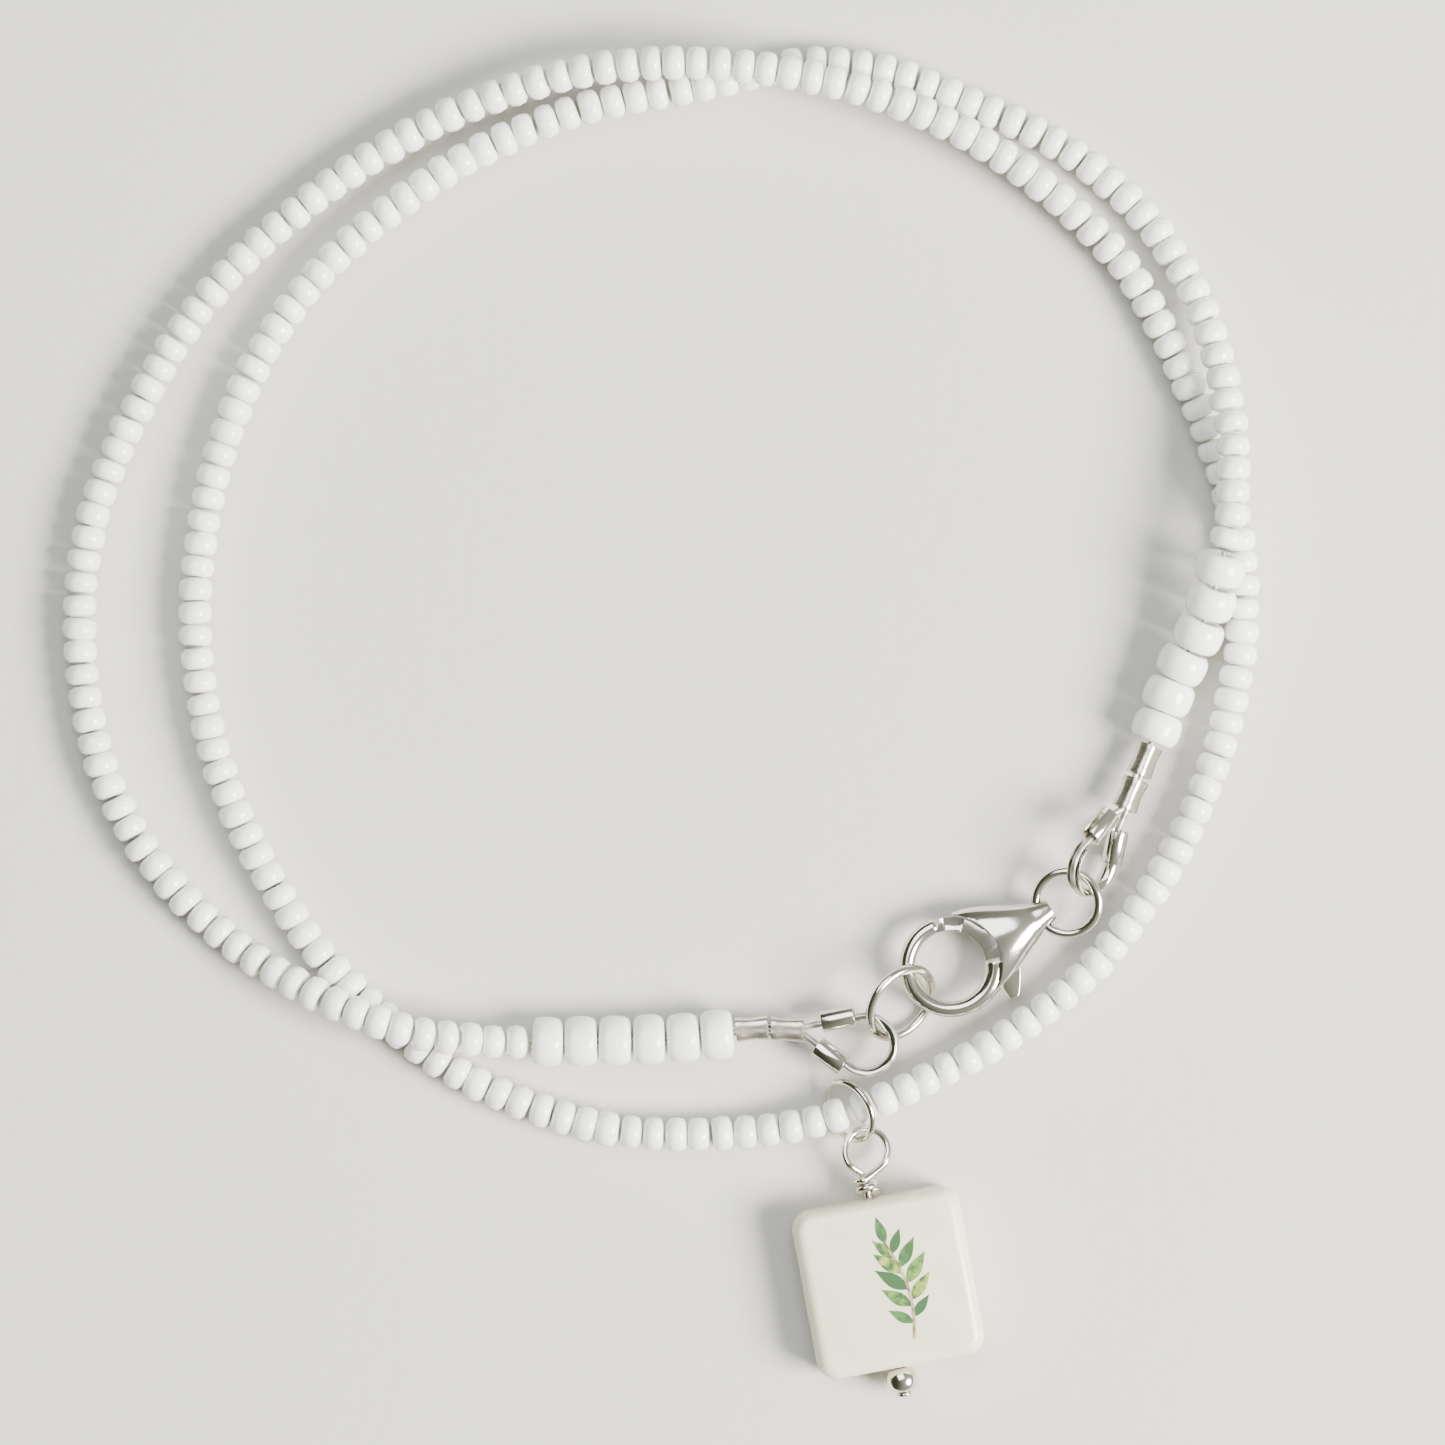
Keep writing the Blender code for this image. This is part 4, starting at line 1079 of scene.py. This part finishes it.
def add_head_pin():
    """The pin as one smooth curve, and the silver bead that it holds."""
    bead_middle = TILE_SIDE / 2 + PIN_BEAD_GAP + PIN_BEAD_LENGTH / 2
    head_start = bead_middle + PIN_BEAD_LENGTH / 2 + PIN_BEAD_GAP / 2
    neck_at = -TILE_SIDE / 2
    turn_off_at = neck_at - WRAP_CLEAR - WRAP_START - WRAP_PITCH * WRAP_TURNS
    wide = PIN_HEAD_DIAMETER / PIN_WIRE
    head = [(1.0, 0.8), (0.7, 1.0), (0.3, 1.0), (0.0, 0.8)]
    points = [PIN_MATRIX @ Vector((head_start + PIN_HEAD_HEIGHT * height, 0, 0)) for height, _ in head]
    radii = [wide * width for _, width in head]
    points.append(PIN_MATRIX @ Vector((head_start - 0.02 * MM, 0, 0)))
    neck = PIN_MATRIX @ Vector((neck_at, 0, 0))
    turn_off = PIN_MATRIX @ Vector((turn_off_at, 0, 0))
    axis = (turn_off - neck).normalized()
    right = Vector((axis.y, -axis.x, 0))
    bends = [neck, turn_off] + loop_points(axis, right) + wrap_points(turn_off, axis, right)
    points += smooth_curve(bends, 5)
    radii += [1.0] * (len(points) - len(radii))
    pin = wire(points, PIN_WIRE, radii, sides=20)
    dress(pin, "silver_head_pin", BRIGHT_SILVER, ["head_pin"], smooth=60.0)
    small = bead(PIN_PROFILE, PIN_BEAD_DIAMETER, PIN_BEAD_LENGTH, 32)
    place = PIN_MATRIX @ Matrix.Translation((bead_middle, 0, 0)) @ Matrix.Rotation(math.pi / 2, 4, "Y")
    settle(small, place)
    dress(small, "silver_pin_bead", BRIGHT_SILVER, ["pin_bead"], smooth=50.0)


add_head_pin()

# %% [markdown]
# ## Mother of pearl
#
# The tile is sawn from shell and polished. Its nacre lies in thin layers, which show as soft cream and green
# clouds with a silky gloss, and its corners and edges are rounded. A cube is scaled and bevelled twice, first
# its upright corners and then its rims, and drilled for the pin.


# %% Shell tile
def mother_of_pearl():
    """Polished nacre: clouded ivory with faint growth bands under a clear gloss."""
    material = bpy.data.materials.new("polished_mother_of_pearl")
    material.use_nodes = True
    tree = material.node_tree
    shader = tree.nodes["Principled BSDF"]
    where = add_node(tree, "ShaderNodeTexCoord")
    cloud = add_node(
        tree, "ShaderNodeTexNoise",
        {"Vector": where.outputs["Object"], "Scale": 1.0 / (5.0 * MM), "Detail": 3.0, "Distortion": 0.6},
    )
    bands = add_node(
        tree, "ShaderNodeTexWave",
        {"Vector": where.outputs["Object"], "Scale": 1.0 / (9.0 * MM), "Distortion": 5.0, "Detail": 2.0},
        bands_direction="DIAGONAL",
    )
    ivory = add_node(
        tree, "ShaderNodeMix",
        {0: cloud.outputs["Fac"], 6: srgb("#D9D7B8"), 7: srgb("#E5E3C9")}, data_type="RGBA",
    )
    nacre = add_node(
        tree, "ShaderNodeMix",
        {0: bands.outputs["Fac"], 6: ivory.outputs[2], 7: srgb("#E0DFC4")}, data_type="RGBA",
    )
    gloss = add_node(
        tree, "ShaderNodeMapRange", {"Value": bands.outputs["Fac"], "To Min": 0.24, "To Max": 0.34},
    )
    bump = add_node(
        tree, "ShaderNodeBump",
        {"Height": cloud.outputs["Fac"], "Strength": 0.06, "Distance": 0.1 * MM},
    )
    tree.links.new(nacre.outputs[2], shader.inputs["Base Color"])
    tree.links.new(gloss.outputs[0], shader.inputs["Roughness"])
    tree.links.new(bump.outputs["Normal"], shader.inputs["Normal"])
    shader.inputs["IOR"].default_value = 1.53
    shader.inputs["Subsurface Weight"].default_value = 0.15
    shader.inputs["Subsurface Scale"].default_value = 0.8 * MM
    shader.inputs["Coat Weight"].default_value = 0.2
    shader.inputs["Coat Roughness"].default_value = 0.12
    return material


TILE_CORNER = 1.2 * MM
TILE_EDGE = 0.8 * MM
TILE_HOLE = 0.8 * MM


def select_edges(piece, test):
    """In edit mode, select the edges that pass a test on their two ends."""
    bpy.ops.mesh.select_mode(type="EDGE")
    bpy.ops.mesh.select_all(action="DESELECT")
    bpy.ops.object.mode_set(mode="OBJECT")
    for edge in piece.data.edges:
        ends = [piece.data.vertices[index].co for index in edge.vertices]
        edge.select = test(*ends)
    bpy.ops.object.mode_set(mode="EDIT")


def add_tile():
    """The tile, with rounded corners and soft rims."""
    deselect()
    bpy.ops.mesh.primitive_cube_add(size=1.0, scale=(TILE_SIDE, TILE_SIDE, TILE_THICKNESS))
    tile = bpy.context.object
    bpy.ops.object.transform_apply(location=True, rotation=True, scale=True)
    bpy.ops.object.mode_set(mode="EDIT")
    half = TILE_THICKNESS / 2
    select_edges(tile, lambda a, b: abs(a.z - b.z) > half)
    bpy.ops.mesh.bevel(offset=TILE_CORNER, segments=12, profile=0.5)
    select_edges(tile, lambda a, b: abs(a.z - b.z) < half)
    bpy.ops.mesh.bevel(offset=TILE_EDGE, segments=8, profile=0.5)
    bpy.ops.object.mode_set(mode="OBJECT")
    along_pin = Matrix.Translation((0, -PIN_OFFSET, 0)) @ Matrix.Rotation(math.pi / 2, 4, "Y")
    boolean(tile, bar(TILE_HOLE / 2, TILE_SIDE, along_pin, 24))
    settle(tile, TILE_MATRIX)
    dress(tile, "pearl_tile", mother_of_pearl(), ["shell_tile"], smooth=40.0)


add_tile()

# %% [markdown]
# ## The print
#
# The tile carries a small printed plant, a plain leafy sprig: a bent stem with pairs of pointed leaves. Each
# leaf is a flat circle drawn out to a point, as thin as a layer of ink.

# %% Printed sprig
INK_HEIGHT = 0.012 * MM
INK_LAYER = 0.002 * MM
INK_GREENS = ["#2F5A35", "#6F9440", "#98AC4C", "#46743B"]
LEAF_WIDTH = 0.36


def ink(name, colour, second):
    """Matt printing ink whose density varies like a fine screen."""
    material = bpy.data.materials.new(name)
    material.use_nodes = True
    tree = material.node_tree
    shader = tree.nodes["Principled BSDF"]
    where = add_node(tree, "ShaderNodeTexCoord")
    screen = add_node(
        tree, "ShaderNodeTexNoise",
        {"Vector": where.outputs["Object"], "Scale": 1.0 / (0.45 * MM), "Detail": 3.0},
    )
    contrast = add_node(
        tree, "ShaderNodeMapRange", {"Value": screen.outputs["Fac"], "From Min": 0.38, "From Max": 0.62},
    )
    colour_mix = add_node(
        tree, "ShaderNodeMix",
        {0: contrast.outputs[0], 6: srgb(colour), 7: srgb(second)}, data_type="RGBA",
    )
    tree.links.new(colour_mix.outputs[2], shader.inputs["Base Color"])
    shader.inputs["Roughness"].default_value = 0.4
    return material


def leaf(at, heading, length, layer):
    """A pointed leaf from its foot, in the tile's frame, with its midrib along its heading."""
    outline = []
    steps = 9
    for side in (1, -1):
        shares = range(steps) if side > 0 else range(steps, 0, -1)
        for step in shares:
            share = step / steps
            width = LEAF_WIDTH * length * math.sin(math.pi * share ** 0.8) ** 1.2 / 2
            outline.append(Vector((share * length, side * width)))
    piece = prism(outline, INK_HEIGHT / 2)
    turn = Matrix.Translation((*at, TILE_THICKNESS / 2 + layer * INK_LAYER)) @ Matrix.Rotation(heading, 4, "Z")
    return settle(piece, TILE_MATRIX @ turn)


Leaf = namedtuple("Leaf", "along side angle length green")
SPRIG = [
    Leaf(0.16, 1, 48, 1.7, 3), Leaf(0.22, -1, 52, 1.6, 0), Leaf(0.33, 1, 46, 2.1, 1), Leaf(0.39, -1, 50, 2.0, 2),
    Leaf(0.5, 1, 44, 2.3, 0), Leaf(0.56, -1, 46, 2.2, 1), Leaf(0.67, 1, 40, 2.1, 2), Leaf(0.73, -1, 42, 2.0, 3),
    Leaf(0.83, 1, 34, 1.7, 1), Leaf(0.88, -1, 34, 1.6, 0), Leaf(0.99, 1, 2, 1.7, 3),
]
STEM_FOOT = Vector((3.4, 0.9)) * MM
STEM_TOP = Vector((-2.4, 0.2)) * MM
STEM_BOW = 0.55 * MM


def stem_at(share):
    """A point of the bowed stem, from its foot at 0 to its top at 1."""
    straight = STEM_FOOT.lerp(STEM_TOP, share)
    return straight + Vector((0, STEM_BOW * math.sin(math.pi * share)))


def add_sprig():
    """Leaves in four greens and a tan stem."""
    greens = [ink(f"green_ink_{number}", code, "#35582F") for number, code in enumerate(INK_GREENS)]
    heading = math.atan2(*(STEM_TOP - STEM_FOOT).yx)
    for number, item in enumerate(SPRIG):
        turn = heading + item.side * math.radians(item.angle)
        piece = leaf(stem_at(item.along), turn, item.length * MM, number)
        dress(piece, f"printed_leaf_{number}", greens[item.green], smooth=30.0)
    stem = [stem_at(step / 24) for step in range(25)]
    half = 0.08 * MM
    outline = [point + Vector((0, half)) for point in stem] + [point - Vector((0, half)) for point in reversed(stem)]
    piece = prism(outline, INK_HEIGHT / 2)
    settle(piece, TILE_MATRIX @ Matrix.Translation((0, 0, TILE_THICKNESS / 2 + len(SPRIG) * INK_LAYER)))
    dress(piece, "printed_stem", ink("tan_ink", "#6B5F3C", "#B3A37A"), smooth=30.0)


add_sprig()
